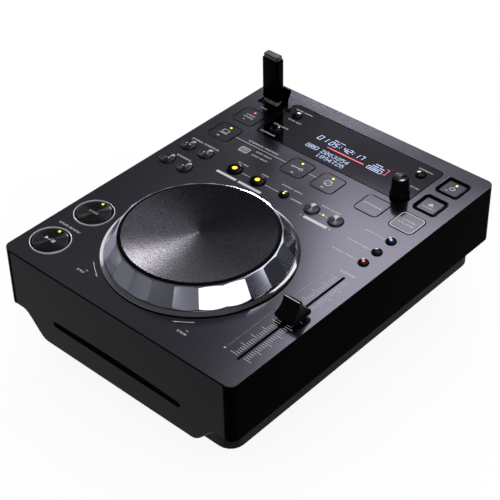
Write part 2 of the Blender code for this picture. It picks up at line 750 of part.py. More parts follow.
def front_fascia(root):
    outline = fascia_outline()
    front = -HALF_DEPTH
    lip_back = -BASE_FRONT - GAP
    rings = [[Vector((x, y, z)) for x, z in outline] for y in (front, lip_back)]
    fascia = add_object("front_fascia", loft(rings), "satin_panel", root)
    bevel(fascia, EDGE_BREAK)
    behind = front + FASCIA_THICK
    far = lip_back + OVERRUN
    side = FASCIA_HALF_WIDTH + OVERRUN
    upper = box((-side, behind, SHELL_BOTTOM - GAP), (side, far, PANEL_TOP + OVERRUN))
    cut(fascia, upper, "upper_back")
    shelf = box((-side, front + FASCIA_EDGE, PANEL_UNDER - GAP), (side, far, PANEL_TOP + OVERRUN))
    cut(fascia, shelf, "panel_shelf")
    pocket_side = FASCIA_CURVE_IN - FASCIA_THICK
    pocket = box((-pocket_side, behind, FASCIA_BOTTOM + FASCIA_THICK), (pocket_side, far, SHELL_BOTTOM))
    cut(fascia, pocket, "lower_back")
    cut(fascia, slot_cutter(), "slot")
    return fascia


def slot_ring(y, lift):
    """One section of the slot: round ends, with an upper edge that rises towards the middle."""
    half = SLOT_HEIGHT / 2
    straight = SLOT_HALF_WIDTH - half
    ring = []
    for index in range(2 * SLOT_STEPS + 1):
        share = 1 - index / SLOT_STEPS
        ring.append(Vector((straight * share, y, SLOT_Z + half + lift * math.cos(share * math.pi / 2))))
    for side, first in ((-1, 1), (1, 0)):
        for index in range(first, first + CORNER_STEPS):
            angle = math.pi * index / CORNER_STEPS - side * math.pi / 2
            ring.append(Vector((side * straight + half * math.cos(angle), y, SLOT_Z + half * math.sin(angle))))
    return ring


def slot_cutter():
    front = -HALF_DEPTH
    stations = ((front - OVERRUN, SLOT_DISH_RISE), (front, SLOT_DISH_RISE), (front + SLOT_DISH_DEPTH, 0),
                (front + OVERRUN, 0))
    return loft([slot_ring(y, lift) for y, lift in stations])


# Lower tray and feet

def tray_ring(inset, corner, height):
    width = 2 * (BASE_HALF_WIDTH - inset)
    depth = BASE_FRONT + BASE_BACK - 2 * inset
    middle = (0, (BASE_BACK - BASE_FRONT) / 2)
    return rounded_points(width, depth, corner, height, middle)


def tray_lip_ring(height):
    inset = SHELL_WALL + GAP
    return rounded_points(BODY_WIDTH - 2 * inset, BODY_DEPTH - 2 * inset, BODY_CORNER - SHELL_WALL, height)


def base_tray(root):
    floor = BASE_UNDER + BASE_WALL
    pan_floor = FOOT_HEIGHT + BASE_WALL
    inner_pan = PAN_INSET + BASE_WALL
    rings = [
        tray_ring(PAN_INSET + PAN_CHAMFER, PAN_CORNER - PAN_CHAMFER, FOOT_HEIGHT),
        tray_ring(PAN_INSET, PAN_CORNER, FOOT_HEIGHT + PAN_CHAMFER),
        tray_ring(PAN_INSET, PAN_CORNER, BASE_UNDER),
        tray_ring(EDGE_BREAK, BASE_CORNER - EDGE_BREAK, BASE_UNDER),
        tray_ring(0, BASE_CORNER, BASE_UNDER + EDGE_BREAK),
        tray_ring(0, BASE_CORNER, SHELL_BOTTOM),
        tray_lip_ring(SHELL_BOTTOM),
        tray_lip_ring(SHELL_BOTTOM + BASE_LIP),
        tray_ring(BASE_WALL, BASE_CORNER - BASE_WALL, SHELL_BOTTOM + BASE_LIP),
        tray_ring(BASE_WALL, BASE_CORNER - BASE_WALL, floor),
        tray_ring(inner_pan, PAN_CORNER - BASE_WALL, floor),
        tray_ring(inner_pan, PAN_CORNER - BASE_WALL, pan_floor),
    ]
    return add_object("base_tray", loft(rings), "slate_plastic", root)


def foot(name, root, x, y):
    under = FOOT_HEIGHT - GAP
    profile = [
        (0, FOOT_DISH),
        (FOOT_HOLLOW, FOOT_DISH),
        (FOOT_HOLLOW, 0),
        (FOOT_TOP_RADIUS, 0),
        (FOOT_RADIUS, FOOT_DISH),
        (FOOT_RADIUS, under),
        (0, under),
    ]
    add_object(name, lathe(profile, SMALL_STEPS), "foot_rubber", root, (x, y, 0))


def feet(root):
    for side, row in ((-1, "left"), (1, "right")):
        foot(f"foot_front_{row}", root, side * FOOT_SPAN_X, -FOOT_FRONT)
        foot(f"foot_back_{row}", root, side * FOOT_SPAN_X, FOOT_BACK)


# Display

def display_window(root):
    middle_x = (WINDOW_RIGHT - WINDOW_LEFT) / 2
    middle_y = (WINDOW_FRONT + WINDOW_BACK) / 2
    width = WINDOW_LEFT + WINDOW_RIGHT
    depth = WINDOW_BACK - WINDOW_FRONT
    bm = slab(width, depth, WINDOW_CORNER, -WINDOW_THICK, 0, (middle_x, middle_y))
    window = add_object("display_window", bm, "window_gloss", root, (0, 0, PANEL_TOP))
    holes = bmesh.new()
    for name, x, y, radius, _ in round_buttons():
        if name in ("time_mode_button", "menu_button", "back_button"):
            reach = radius + HOLE_CLEAR
            lathe([(reach, -OVERRUN), (reach, OVERRUN)], SMALL_STEPS, (x, y), False, holes)
    reach = BUSH_RADIUS + GAP
    lathe([(reach, -OVERRUN), (reach, OVERRUN)], SMALL_STEPS, (ROTARY_X, ROTARY_Y), False, holes)
    cut(window, holes, "holes")


def display_module(root):
    """The display sits in its own frame under the opening in the panel."""
    top = -PANEL_THICK - GAP
    bm = slab(DISPLAY_WIDTH, DISPLAY_DEPTH, DISPLAY_FRAME, top - DISPLAY_THICK + PANEL_THICK, top)
    module = add_object("display_module", bm, "display_glass", root, (0, DISPLAY_CENTRE_Y, PANEL_TOP))
    view_width = DISPLAY_WIDTH - 2 * DISPLAY_FRAME - 2 * GAP
    view_depth = DISPLAY_DEPTH - 2 * DISPLAY_FRAME - 2 * GAP
    high = -WINDOW_THICK - 2 * GAP
    join(module, slab(view_width, view_depth, DISPLAY_FRAME, top - GAP, high, (0, 0), 2), "glass")


# Jog wheel

def scallop(index):
    """Depth of the scoop between two ridges, from 0 on a ridge to 1 in the middle."""
    place = (index % SCALLOP_STEPS) / SCALLOP_STEPS
    return 1 - (2 * place - 1) ** 2


def jog_ring(axis):
    steps = SCALLOPS * SCALLOP_STEPS
    rings = []
    levels = 3
    for radius, height in (
        (JOG_RADIUS, JOG_CLEARANCE),
        (JOG_RADIUS - EDGE_BREAK, JOG_RIM_TOP),
        (JOG_RIM_INNER, JOG_RIM_TOP),
        (JOG_GROOVE_RADIUS, JOG_GROOVE),
    ):
        rings.append(circle_points(radius, height, steps))
    for level in range(levels + 1):
        share = level / levels
        radius = JOG_FACET_RADIUS + (JOG_TOP_RADIUS - JOG_FACET_RADIUS) * share
        height = JOG_FACET_FOOT + (JOG_TOP - JOG_FACET_FOOT) * share
        depth = SCALLOP_DEPTH * min(1.0, levels * share / 2)
        rings.append(circle_points(radius, height, steps, (0, 0), lambda i: depth * scallop(i)))
    lip = PLATE_RADIUS + GAP
    ledge = PLATE_TOP - PLATE_THICK - PLATE_GAP
    seat = ledge - JOG_WALL + EDGE_BREAK
    rings.append(circle_points(lip, ledge, steps))
    rings.append(circle_points(JOG_LEDGE_RADIUS, ledge, steps))
    rings.append(circle_points(JOG_LEDGE_RADIUS, seat, steps))
    rings.append(circle_points(JOG_LEDGE_RADIUS + JOG_WALL, seat, steps))
    rings.append(circle_points(JOG_FACET_RADIUS - 2 * JOG_WALL, JOG_CLEARANCE, steps))
    return add_object("jog_ring", loft(rings, looped=True), "jog_chrome", axis)


def jog_plate(axis):
    """The round touch plate on top, with a boss that runs in the hub."""
    under = PLATE_TOP - PLATE_THICK
    boss_end = jog_shaft_top() + BOSS_CLEARANCE
    profile = [
        (0, under),
        (PLATE_RADIUS, under),
        (PLATE_RADIUS, PLATE_TOP - EDGE_BREAK),
        (PLATE_RADIUS - EDGE_BREAK, PLATE_TOP),
        (0, PLATE_TOP),
    ]
    plate = add_object("jog_plate", lathe(profile, PLATE_STEPS), "jog_black", axis)
    boss = lathe([(PLATE_BOSS, boss_end), (PLATE_BOSS, under + GAP)], BUTTON_STEPS)
    join(plate, boss, "boss")
    return plate


def jog_seat():
    """Height of the underside of the ring's ledge, where the hub carries it."""
    return PLATE_TOP - PLATE_THICK - PLATE_GAP - JOG_WALL + EDGE_BREAK


def jog_shaft_top():
    return jog_seat() - GAP - HUB_WEB


def jog_hub(axis):
    top = jog_seat() - GAP
    web_under = top - HUB_WEB
    foot_height = GAP + POST_FLANGE + GAP
    profile = [
        (HUB_BORE, foot_height),
        (HUB_SLEEVE, foot_height),
        (HUB_SLEEVE, web_under),
        (JOG_LEDGE_RADIUS + JOG_WALL - GAP, web_under),
        (JOG_LEDGE_RADIUS + JOG_WALL - GAP, top),
        (HUB_BORE, top),
    ]
    hub = add_object("jog_hub", lathe(profile, BIG_STEPS, looped=True), "white_plastic", axis)
    windows = bmesh.new()
    count = 6
    middle = (JOG_LEDGE_RADIUS + HUB_SLEEVE) / 2
    reach = (JOG_LEDGE_RADIUS - HUB_SLEEVE) / 4
    for index in range(count):
        angle = 2 * math.pi * index / count
        place = (middle * math.cos(angle), middle * math.sin(angle))
        lathe([(reach, web_under - OVERRUN / 2), (reach, top + OVERRUN)], SMALL_STEPS, place, False, windows)
    cut(hub, windows, "windows")


def jog_post(root):
    spigot_end = -PANEL_THICK
    profile = [
        (0, spigot_end),
        (POST_SPIGOT, spigot_end),
        (POST_SPIGOT, GAP),
        (POST_FLANGE_RADIUS, GAP),
        (POST_FLANGE_RADIUS, GAP + POST_FLANGE),
        (JOG_SHAFT_RADIUS, GAP + POST_FLANGE),
        (JOG_SHAFT_RADIUS, jog_shaft_top() - EDGE_BREAK),
        (JOG_SHAFT_RADIUS - EDGE_BREAK, jog_shaft_top()),
        (0, jog_shaft_top()),
    ]
    add_object("jog_post", lathe(profile, BUTTON_STEPS), "steel", root, (0, JOG_Y, PANEL_TOP))


def jog_bearing(axis):
    low = GAP + POST_FLANGE + GAP
    inner = JOG_SHAFT_RADIUS + GAP
    outer = HUB_BORE - GAP
    profile = [(inner, low), (outer, low), (outer, low + BEARING_HEIGHT), (inner, low + BEARING_HEIGHT)]
    add_object("jog_bearing", lathe(profile, BUTTON_STEPS, looped=True), "steel", axis)


# Play and cue

def trim_ring(name, root, y):
    inner = BIG_RADIUS + GAP
    profile = [
        (inner, -PANEL_THICK),
        (RING_SPIGOT, -PANEL_THICK),
        (RING_SPIGOT, GAP),
        (RING_RADIUS, GAP),
        (RING_RADIUS, RING_SHELF + GAP),
        (RING_RADIUS - EDGE_BREAK, RING_RISE),
        (inner, RING_RISE),
    ]
    add_object(name, lathe(profile, BIG_STEPS, looped=True), "ring_silver", root, (BIG_X, y, PANEL_TOP))


def big_button(name, root, y):
    flange_top = -PANEL_THICK - GAP
    profile = [
        (0, flange_top - FLANGE_THICK),
        (BIG_RADIUS + 2 * ROUND_FLANGE, flange_top - FLANGE_THICK),
        (BIG_RADIUS + 2 * ROUND_FLANGE, flange_top),
        (BIG_RADIUS, flange_top),
        (BIG_RADIUS, BIG_RISE - EDGE_BREAK),
        (BIG_RADIUS - EDGE_BREAK, BIG_RISE),
        (0, BIG_RISE),
    ]
    add_object(name, lathe(profile, BIG_STEPS), "button_black", root, (BIG_X, y, PANEL_TOP))


# Round buttons

def round_buttons():
    """Name, place, radius and rise above the panel."""
    return [
        ("track_back_button", BACK_COLUMN, TRACK_ROW, SEARCH_RADIUS, DOME_RISE),
        ("track_forward_button", FORWARD_COLUMN, TRACK_ROW, SEARCH_RADIUS, DOME_RISE),
        ("search_back_button", BACK_COLUMN, SEARCH_ROW, SEARCH_RADIUS, DOME_RISE),
        ("search_forward_button", FORWARD_COLUMN, SEARCH_ROW, SEARCH_RADIUS, DOME_RISE),
        ("loop_in_button", LOOP_IN_X, LOOP_ROW, LOOP_RADIUS, DOME_RISE),
        ("loop_out_button", LOOP_OUT_X, LOOP_ROW, LOOP_RADIUS, DOME_RISE),
        ("reloop_button", RELOOP_X, LOOP_ROW, SMALL_RADIUS, DOME_RISE),
        ("beat_half_button", BEAT_HALF_X, LOOP_ROW, BEAT_RADIUS, DOME_RISE),
        ("beat_double_button", BEAT_DOUBLE_X, LOOP_ROW, BEAT_RADIUS, DOME_RISE),
        ("vinyl_button", SMALL_COLUMN, VINYL_Y, SMALL_RADIUS, DOME_RISE),
        ("tempo_range_button", SMALL_COLUMN, RANGE_Y, SMALL_RADIUS, DOME_RISE),
        ("master_tempo_button", SMALL_COLUMN, MASTER_Y, SMALL_RADIUS, DOME_RISE),
        ("time_mode_button", MENU_COLUMN, TIME_Y, MENU_RADIUS, DOME_RISE),
        ("menu_button", MENU_COLUMN, MENU_Y, MENU_RADIUS, DOME_RISE),
        ("back_button", BACK_X, BACK_Y, MENU_RADIUS, DOME_RISE),
    ]


def round_button(name, root, x, y, radius, rise):
    flange_top = -PANEL_THICK - GAP
    reach = radius + ROUND_FLANGE
    profile = [
        (0, flange_top - FLANGE_THICK),
        (reach, flange_top - FLANGE_THICK),
        (reach, flange_top),
        (radius, flange_top),
        (radius, rise - BUTTON_EDGE),
        (radius - BUTTON_EDGE, rise - BUTTON_EDGE / 6),
        (0, rise),
    ]
    steps = BUTTON_STEPS if radius > MENU_RADIUS else SMALL_STEPS
    add_object(name, lathe(profile, steps), "button_black", root, (x, y, PANEL_TOP))


# Square keys, flush with the panel

def square_keys():
    return [
        ("computer_source_key", LEFT_KEY_COLUMN, KEY_ROW),
        ("stick_source_key", STICK_KEY_X, KEY_ROW),
        ("disc_source_key", DISC_KEY_X, KEY_ROW),
        ("stick_stop_key", LEFT_KEY_COLUMN, STICK_STOP_Y),
        ("playlist_key", PLAYLIST_X, KEY_ROW),
        ("beat_lock_key", RIGHT_KEY_COLUMN, KEY_ROW),
    ]


def square_key(name, root, x, y, size, top, corner):
    flange_top = -PANEL_THICK - GAP
    flange_size = size + 2 * ROUND_FLANGE
    steps = KEY_STEPS
    rings = [
        rounded_points(flange_size, flange_size, corner, flange_top - FLANGE_THICK, (0, 0), steps),
        rounded_points(flange_size, flange_size, corner, flange_top, (0, 0), steps),
        rounded_points(size, size, corner, flange_top, (0, 0), steps),
        rounded_points(size, size, corner, top - EDGE_BREAK / 2, (0, 0), steps),
        rounded_points(size - EDGE_BREAK, size - EDGE_BREAK, corner - EDGE_BREAK / 2, top, (0, 0), steps),
    ]
    add_object(name, loft(rings), "key_grey", root, (x, y, PANEL_TOP))


def key_bezel(name, root, y):
    """A gloss frame whose inner walls slope down to the key inside it."""
    steps = KEY_STEPS
    shank = BEZEL_SIZE - 2 * BEZEL_SHELF
    shank_corner = KEY_CORNER - BEZEL_SHELF
    inside = FRAMED_KEY_SIZE + 2 * KEY_CLEAR
    levels = [
        (inside, shank_corner, -PANEL_THICK),
        (shank, shank_corner, -PANEL_THICK),
        (shank, shank_corner, GAP),
        (BEZEL_SIZE, KEY_CORNER, GAP),
        (BEZEL_SIZE, KEY_CORNER, BEZEL_RISE - EDGE_BREAK),
        (BEZEL_SIZE - 2 * EDGE_BREAK, KEY_CORNER - EDGE_BREAK, BEZEL_RISE),
        (BEZEL_MOUTH, KEY_CORNER - BEZEL_SHELF, BEZEL_RISE),
        (inside, shank_corner, -FRAMED_KEY_DROP),
    ]
    rings = [rounded_points(size, size, corner, z, (0, 0), steps) for size, corner, z in levels]
    add_object(name, loft(rings, looped=True), "gloss_black", root, (RIGHT_KEY_COLUMN, y, PANEL_TOP))


def framed_key(name, root, y):
    """The key inside a frame; its flange is held under the frame's shank."""
    square_key(name, root, RIGHT_KEY_COLUMN, y, FRAMED_KEY_SIZE, -FRAMED_KEY_DROP, KEY_CORNER - BEZEL_SHELF)


# Selector knob, its shaft and the encoder under the panel

def rib(index):
    place = (index % RIB_STEPS) / RIB_STEPS
    return 1 - abs(2 * place - 1)


def rotary_knob(axis):
    steps = ROTARY_RIBS * RIB_STEPS
    bore = SHAFT_RADIUS + SHAFT_FIT
    body_low = ROTARY_SKIRT_TOP + EDGE_BREAK
    body_high = ROTARY_TOP - 2 * EDGE_BREAK
    rings = [
        [Vector((0, 0, SHAFT_TOP + SHAFT_FIT))],
        circle_points(bore, SHAFT_TOP + SHAFT_FIT, steps),
        circle_points(bore, ROTARY_LIFT, steps),
        circle_points(ROTARY_SKIRT, ROTARY_LIFT, steps),
        circle_points(ROTARY_SKIRT, ROTARY_SKIRT_TOP - EDGE_BREAK, steps),
        circle_points(ROTARY_SKIRT - EDGE_BREAK, ROTARY_SKIRT_TOP, steps),
        circle_points(ROTARY_FOOT, body_low, steps, (0, 0), lambda i: RIB_DEPTH * rib(i)),
        circle_points(ROTARY_HEAD, body_high, steps, (0, 0), lambda i: RIB_DEPTH * rib(i)),
        circle_points(ROTARY_HEAD - EDGE_BREAK, ROTARY_TOP - EDGE_BREAK / 2, steps),
        circle_points(ROTARY_HEAD - 2 * EDGE_BREAK, ROTARY_TOP, steps),
        [Vector((0, 0, ROTARY_TOP))],
    ]
    add_object("rotary_knob", loft(rings), "button_black", axis)


def rotary_shaft(axis):
    low = -PANEL_THICK - ENCODER_HEIGHT + SHAFT_LIFT
    profile = [
        (0, low),
        (SHAFT_RADIUS, low),
        (SHAFT_RADIUS, SHAFT_TOP - EDGE_BREAK),
        (SHAFT_RADIUS - EDGE_BREAK, SHAFT_TOP),
        (0, SHAFT_TOP),
    ]
    add_object("rotary_shaft", lathe(profile, ROUND_STEPS // 2 + ROUND_STEPS // 4), "steel", axis)


def rotary_encoder(root):
    """Square body with a bush that stands up through the panel; the shaft runs in its blind bore."""
    top = -PANEL_THICK - GAP
    low = top - ENCODER_HEIGHT
    bore = SHAFT_RADIUS + SHAFT_FIT
    bm = slab(ENCODER_SIZE, ENCODER_SIZE, EDGE_BREAK, low, top, (0, 0), 1)
    encoder = add_object("rotary_encoder", bm, "black_plastic", root, (ROTARY_X, ROTARY_Y, PANEL_TOP))
    join(encoder, lathe([(BUSH_RADIUS, top - GAP), (BUSH_RADIUS, BUSH_TOP)], ROUND_STEPS), "bush")
    floor = low + 2 * EDGE_BREAK
    cut(encoder, lathe([(bore, floor), (bore, OVERRUN)], ROUND_STEPS // 2 + ROUND_STEPS // 4), "bore")


# Tempo slider

def slider_middle():
    return -(SLIDER_FRONT + SLIDER_BACK) / 2


def tempo_knob(axis):
    """Cap with a straight skirt and hollow front and back slopes that meet in a narrow ridge."""
    rings = [
        rounded_points(CAP_WIDTH, CAP_LENGTH, CAP_CORNER, CAP_LIFT, (0, 0), 2),
        rounded_points(CAP_WIDTH, CAP_LENGTH, CAP_CORNER, CAP_SKIRT, (0, 0), 2),
    ]
    for step in range(1, CAP_STEPS + 1):
        share = step / CAP_STEPS
        falling = (1 - share) ** 2
        width = CAP_RIDGE_WIDTH + (CAP_WIDTH - CAP_RIDGE_WIDTH) * (1 - share)
        length = CAP_RIDGE_LENGTH + (CAP_LENGTH - CAP_RIDGE_LENGTH) * falling
        height = CAP_SKIRT + (CAP_TOP - CAP_SKIRT) * share
        rings.append(rounded_points(width, length, CAP_CORNER, height, (0, 0), 2))
    knob = add_object("tempo_knob", loft(rings), "button_black", axis)
    wide = LEVER_THICK + 2 * GAP
    long = LEVER_LENGTH + 2 * GAP
    cut(knob, slab(wide, long, GAP, -OVERRUN, LEVER_TOP + GAP, (0, 0), 1), "socket")


def tempo_lever(axis):
    """Flat lever that carries the cap, on a carriage that runs inside the slide."""
    track_top = -PANEL_THICK - GAP
    carriage_high = track_top - TRACK_WALL - GAP
    carriage_low = track_top - TRACK_HEIGHT + TRACK_WALL + GAP
    carriage_width = TRACK_WIDTH - 2 * TRACK_WALL - 2 * GAP
    bm = slab(carriage_width, CARRIAGE_LENGTH, EDGE_BREAK, carriage_low, carriage_high, (0, 0), 1)
    lever = add_object("tempo_lever", bm, "black_plastic", axis)
    join(lever, slab(LEVER_THICK, LEVER_LENGTH, GAP, carriage_high - GAP, LEVER_TOP, (0, 0), 1), "blade")


def tempo_track(root):
    """Closed slide under the panel, slotted along its top for the lever."""
    high = -PANEL_THICK - GAP
    low = high - TRACK_HEIGHT
    length = SLIDER_FRONT - SLIDER_BACK + 2 * TRACK_EXTRA
    place = (SLIDER_X, slider_middle(), PANEL_TOP)
    bm = slab(TRACK_WIDTH, length, EDGE_BREAK, low, high, (0, 0), 1)
    track = add_object("tempo_track", bm, "zinc_sheet", root, place)
    inner_width = TRACK_WIDTH - 2 * TRACK_WALL
    inner_length = length - 2 * TRACK_WALL
    channel = slab(inner_width, inner_length, EDGE_BREAK, low + TRACK_WALL, high - TRACK_WALL, (0, 0), 1)
    cut(track, channel, "channel")
    slot_length = SLIDER_FRONT - SLIDER_BACK
    slot = slab(SLIDER_SLOT, slot_length, GAP, high - 2 * TRACK_WALL, high + OVERRUN, (0, 0), 1)
    cut(track, slot, "slot")


# Stick port, cover and memory stick

def usb_port(root):
    """Moulded well plate with the socket's mouth, held under the panel by a flange."""
    top = -PORT_DROP
    width = PORT_WIDTH - 2 * GAP
    depth = PORT_DEPTH - 2 * GAP
    flange_top = -PANEL_THICK - GAP
    steps = CORNER_STEPS - 2
    levels = [
        (PORT_HOLE_WIDTH + 4 * GAP + 2 * PORT_FLANGE, PORT_HOLE_DEPTH + 4 * GAP + 2 * PORT_FLANGE, -PORT_HEIGHT),
        (PORT_HOLE_WIDTH + 4 * GAP + 2 * PORT_FLANGE, PORT_HOLE_DEPTH + 4 * GAP + 2 * PORT_FLANGE,
         flange_top - PORT_FLANGE),
        (width + 2 * PORT_FLANGE, depth + 2 * PORT_FLANGE, flange_top - PORT_FLANGE),
        (width + 2 * PORT_FLANGE, depth + 2 * PORT_FLANGE, flange_top),
        (width, depth, flange_top),
        (width, depth, top),
    ]
    rings = [rounded_points(w, d, PORT_CORNER - GAP, z, (0, 0), steps) for w, d, z in levels]
    port = add_object("usb_port", loft(rings), "black_plastic", root, (PORT_X, PORT_Y, PANEL_TOP))
    hole_y = PORT_HOLE_Y - PORT_Y
    floor = -PORT_HEIGHT + PORT_FLANGE
    mouth = slab(PORT_HOLE_WIDTH, PORT_HOLE_DEPTH, GAP, floor, OVERRUN, (0, hole_y), 1)
    cut(port, mouth, "mouth")
    hinge_y = COVER_HINGE_Y - PORT_Y
    reach = COVER_WIDTH / 2 + GAP
    barrel = COVER_BARREL + 2 * GAP
    groove = box((-reach, hinge_y - barrel, -PORT_DROP - 2 * COVER_BARREL), (reach, hinge_y + OVERRUN, OVERRUN))
    cut(port, groove, "hinge_groove")


def usb_cover(axis):
    """Small lid on a barrel hinge, modelled standing up along its own Z."""
    bm = rod_along("X", COVER_BARREL, -COVER_WIDTH / 2, COVER_WIDTH / 2, (0, 0), ROUND_STEPS // 2)
    lean = -COVER_LEAN
    cover = add_object("usb_cover", bm, "black_plastic", axis, (0, 0, 0), (lean, 0, 0))
    blade = bmesh.new()
    slab(COVER_WIDTH, COVER_LENGTH + COVER_CORNER, COVER_CORNER, -COVER_THICK / 2, COVER_THICK / 2,
         (0, (COVER_LENGTH - COVER_CORNER) / 2), CORNER_STEPS, blade)
    bmesh.ops.rotate(blade, verts=blade.verts, cent=(0, 0, 0), matrix=Matrix.Rotation(math.pi / 2, 3, "X"))
    bmesh.ops.bisect_plane(blade, geom=list(blade.verts) + list(blade.edges) + list(blade.faces),
                           plane_co=(0, 0, 0), plane_no=(0, 0, -1), clear_outer=True)
    bmesh.ops.holes_fill(blade, edges=blade.edges)
    join(cover, blade, "blade")


def usb_stick(axis):
    """Slim stick with tapered shoulders; its hollow metal plug stands in the port."""
    levels = [
        (PLUG_WIDTH, PLUG_DEPTH, 2 * GAP, STICK_FOOT - PLUG_LENGTH),
        (PLUG_WIDTH, PLUG_DEPTH, 2 * GAP, STICK_FOOT),
        (STICK_WIDTH - STICK_TAPER, STICK_DEPTH - STICK_TAPER, STICK_CORNER, STICK_FOOT),
        (STICK_WIDTH, STICK_DEPTH, STICK_CORNER, STICK_FOOT + EDGE_BREAK),
        (STICK_WIDTH, STICK_DEPTH, STICK_CORNER, STICK_TOP - STICK_SHOULDER),
        (STICK_WIDTH - STICK_TAPER, STICK_DEPTH - STICK_TAPER, STICK_CORNER, STICK_TOP),
    ]
    rings = [rounded_points(w, d, corner, z, (0, 0), 3) for w, d, corner, z in levels]
    stick = add_object("usb_stick", loft(rings), "black_plastic", axis)
    hollow_width = PLUG_WIDTH - 2 * PLUG_WALL
    half = PLUG_DEPTH / 2 - PLUG_WALL
    end = STICK_FOOT - PLUG_LENGTH
    hollow = box((-hollow_width / 2, 0, end - OVERRUN), (hollow_width / 2, half, STICK_FOOT - 2 * GAP))
    cut(stick, hollow, "plug_mouth")


# Disc drive

def drive_chassis(root):
    side = DRIVE_HALF_WIDTH
    sheet = DRIVE_SHEET
    bm = box((-side, -DRIVE_FRONT, DRIVE_FLOOR), (side, DRIVE_BACK, DRIVE_TOP))
    chassis = add_object("drive_chassis", bm, "zinc_sheet", root, smooth=False)
    inside = box((-side + sheet, -DRIVE_FRONT - OVERRUN, DRIVE_FLOOR + sheet),
                 (side - sheet, DRIVE_BACK - sheet, DRIVE_TOP + OVERRUN))
    cut(chassis, inside, "inside")
    supports = bmesh.new()
    reach = side - DRIVE_FOOT_INSET
    pan_floor = FOOT_HEIGHT + BASE_WALL + GAP
    for x in (-reach, reach):
        for y in (-DRIVE_FRONT + 2 * DRIVE_FOOT_INSET, DRIVE_BACK - DRIVE_FOOT_INSET):
            lathe([(DRIVE_FOOT_RADIUS, pan_floor), (DRIVE_FOOT_RADIUS, DRIVE_FLOOR + GAP)],
                  ROUND_STEPS // 4, (x, y), False, supports)
    lathe([(MOTOR_RADIUS, DRIVE_FLOOR + GAP), (MOTOR_RADIUS, MOTOR_TOP)], ROUND_STEPS // 4 * 3, (0, SPINDLE_Y),
          False, supports)
    join(chassis, supports, "supports")
    bores = bmesh.new()
    rod_along("X", ROLLER_AXLE + GAP, -side - OVERRUN, side + OVERRUN, (ROLLER_Y, roller_height()),
              ROUND_STEPS // 2, bores)
    lathe([(SPINDLE_RADIUS + GAP, MOTOR_TOP - MOTOR_RADIUS / 2), (SPINDLE_RADIUS + GAP, MOTOR_TOP + OVERRUN)],
          ROUND_STEPS // 2, (0, SPINDLE_Y), False, bores)
    cut(chassis, bores, "bores")


def roller_height():
    return SLOT_Z - SLOT_HEIGHT / 2 - GAP - ROLLER_END_RADIUS


def drive_cover(root):
    """Lid over the drive, with edges turned down outside the chassis and a pressed dome for the clamp."""
    side = DRIVE_HALF_WIDTH + GAP
    sheet = DRIVE_SHEET
    top = DRIVE_TOP + GAP
    drop = 5 * sheet
    middle = (0, (DRIVE_BACK - DRIVE_FRONT) / 2)
    depth = DRIVE_FRONT + DRIVE_BACK
    bm = box((-side - sheet, -depth / 2, top - drop), (side + sheet, depth / 2, top + sheet))
    cover = add_object("drive_cover", bm, "zinc_sheet", root, (middle[0], middle[1], 0), smooth=False)
    inside = box((-side, -depth / 2 - OVERRUN, top - drop - OVERRUN), (side, depth / 2 + OVERRUN, top))
    cut(cover, inside, "inside")
    local_y = SPINDLE_Y - middle[1]
    dome = lathe([(CLAMP_RADIUS, top + sheet / 2), (CLAMP_RADIUS, top + sheet),
                  (CLAMP_RADIUS - CLAMP_RISE, top + sheet + CLAMP_RISE)], ROUND_STEPS, (0, local_y))
    join(cover, dome, "dome")


def turntable(axis):
    """Hub that carries the disc, with a centring cone and a spindle in the motor."""
    top = SLOT_Z - SLOT_HEIGHT / 2 - TURNTABLE_TOP_GAP
    low = top - TURNTABLE_THICK
    profile = [
        (0, MOTOR_TOP - MOTOR_RADIUS / 4),
        (SPINDLE_RADIUS, MOTOR_TOP - MOTOR_RADIUS / 4),
        (SPINDLE_RADIUS, low),
        (TURNTABLE_RADIUS, low),
        (TURNTABLE_RADIUS, top),
        (CONE_RADIUS, top),
        (CONE_RADIUS - CONE_RISE / 2, top + CONE_RISE),
        (0, top + CONE_RISE),
    ]
    add_object("turntable", lathe(profile, BUTTON_STEPS), "black_plastic", axis)


def feed_roller(axis):
    """Rubber roller, waisted so that it only grips a disc by its rim."""
    end = DRIVE_HALF_WIDTH - GAP
    stations = [(-end, ROLLER_AXLE), (-ROLLER_HALF_LENGTH, ROLLER_AXLE)]
    steps = 4
    for index in range(steps + 1):
        share = 2 * index / steps - 1
        radius = ROLLER_WAIST_RADIUS + (ROLLER_END_RADIUS - ROLLER_WAIST_RADIUS) * abs(share)
        stations.append((share * ROLLER_HALF_LENGTH, radius))
    stations.append((ROLLER_HALF_LENGTH, ROLLER_AXLE))
    stations.append((end, ROLLER_AXLE))
    rings = []
    for x, radius in stations:
        ring = circle_points(radius, x, SMALL_STEPS)
        rings.append([Vector((point.z, point.x, point.y)) for point in ring])
    add_object("feed_roller", loft(rings), "roller_rubber", axis)


# Boards and sockets

def main_board(root):
    """The board under the panel goes round the jog wheel's well."""
    edge = HALF_WIDTH - SHELL_WALL - POST_RADIUS
    back = HALF_DEPTH - SHELL_WALL - POST_RADIUS
    high = PANEL_TOP - BOARD_DROP
    low = high - BOARD_THICK
    front = -HALF_DEPTH + 2 * OVERRUN
    bm = box((-edge, front, low), (edge, back, high))
    board = add_object("main_board", bm, "board_green", root, smooth=False)
    openings = bmesh.new()
    well = -BIG_X - RING_RADIUS - POST_RADIUS
    below = low - OVERRUN
    above = high + OVERRUN
    box((-well, front - OVERRUN, below), (edge + OVERRUN, SEARCH_ROW - 2 * SMALL_RADIUS, above), openings)
    box((PORT_X - PORT_WIDTH / 2, PORT_Y - PORT_DEPTH / 2, below),
        (PORT_X + PORT_WIDTH / 2, PORT_Y + PORT_DEPTH / 2, above), openings)
    cut(board, openings, "openings")
    join(board, push_switches(high), "switches")


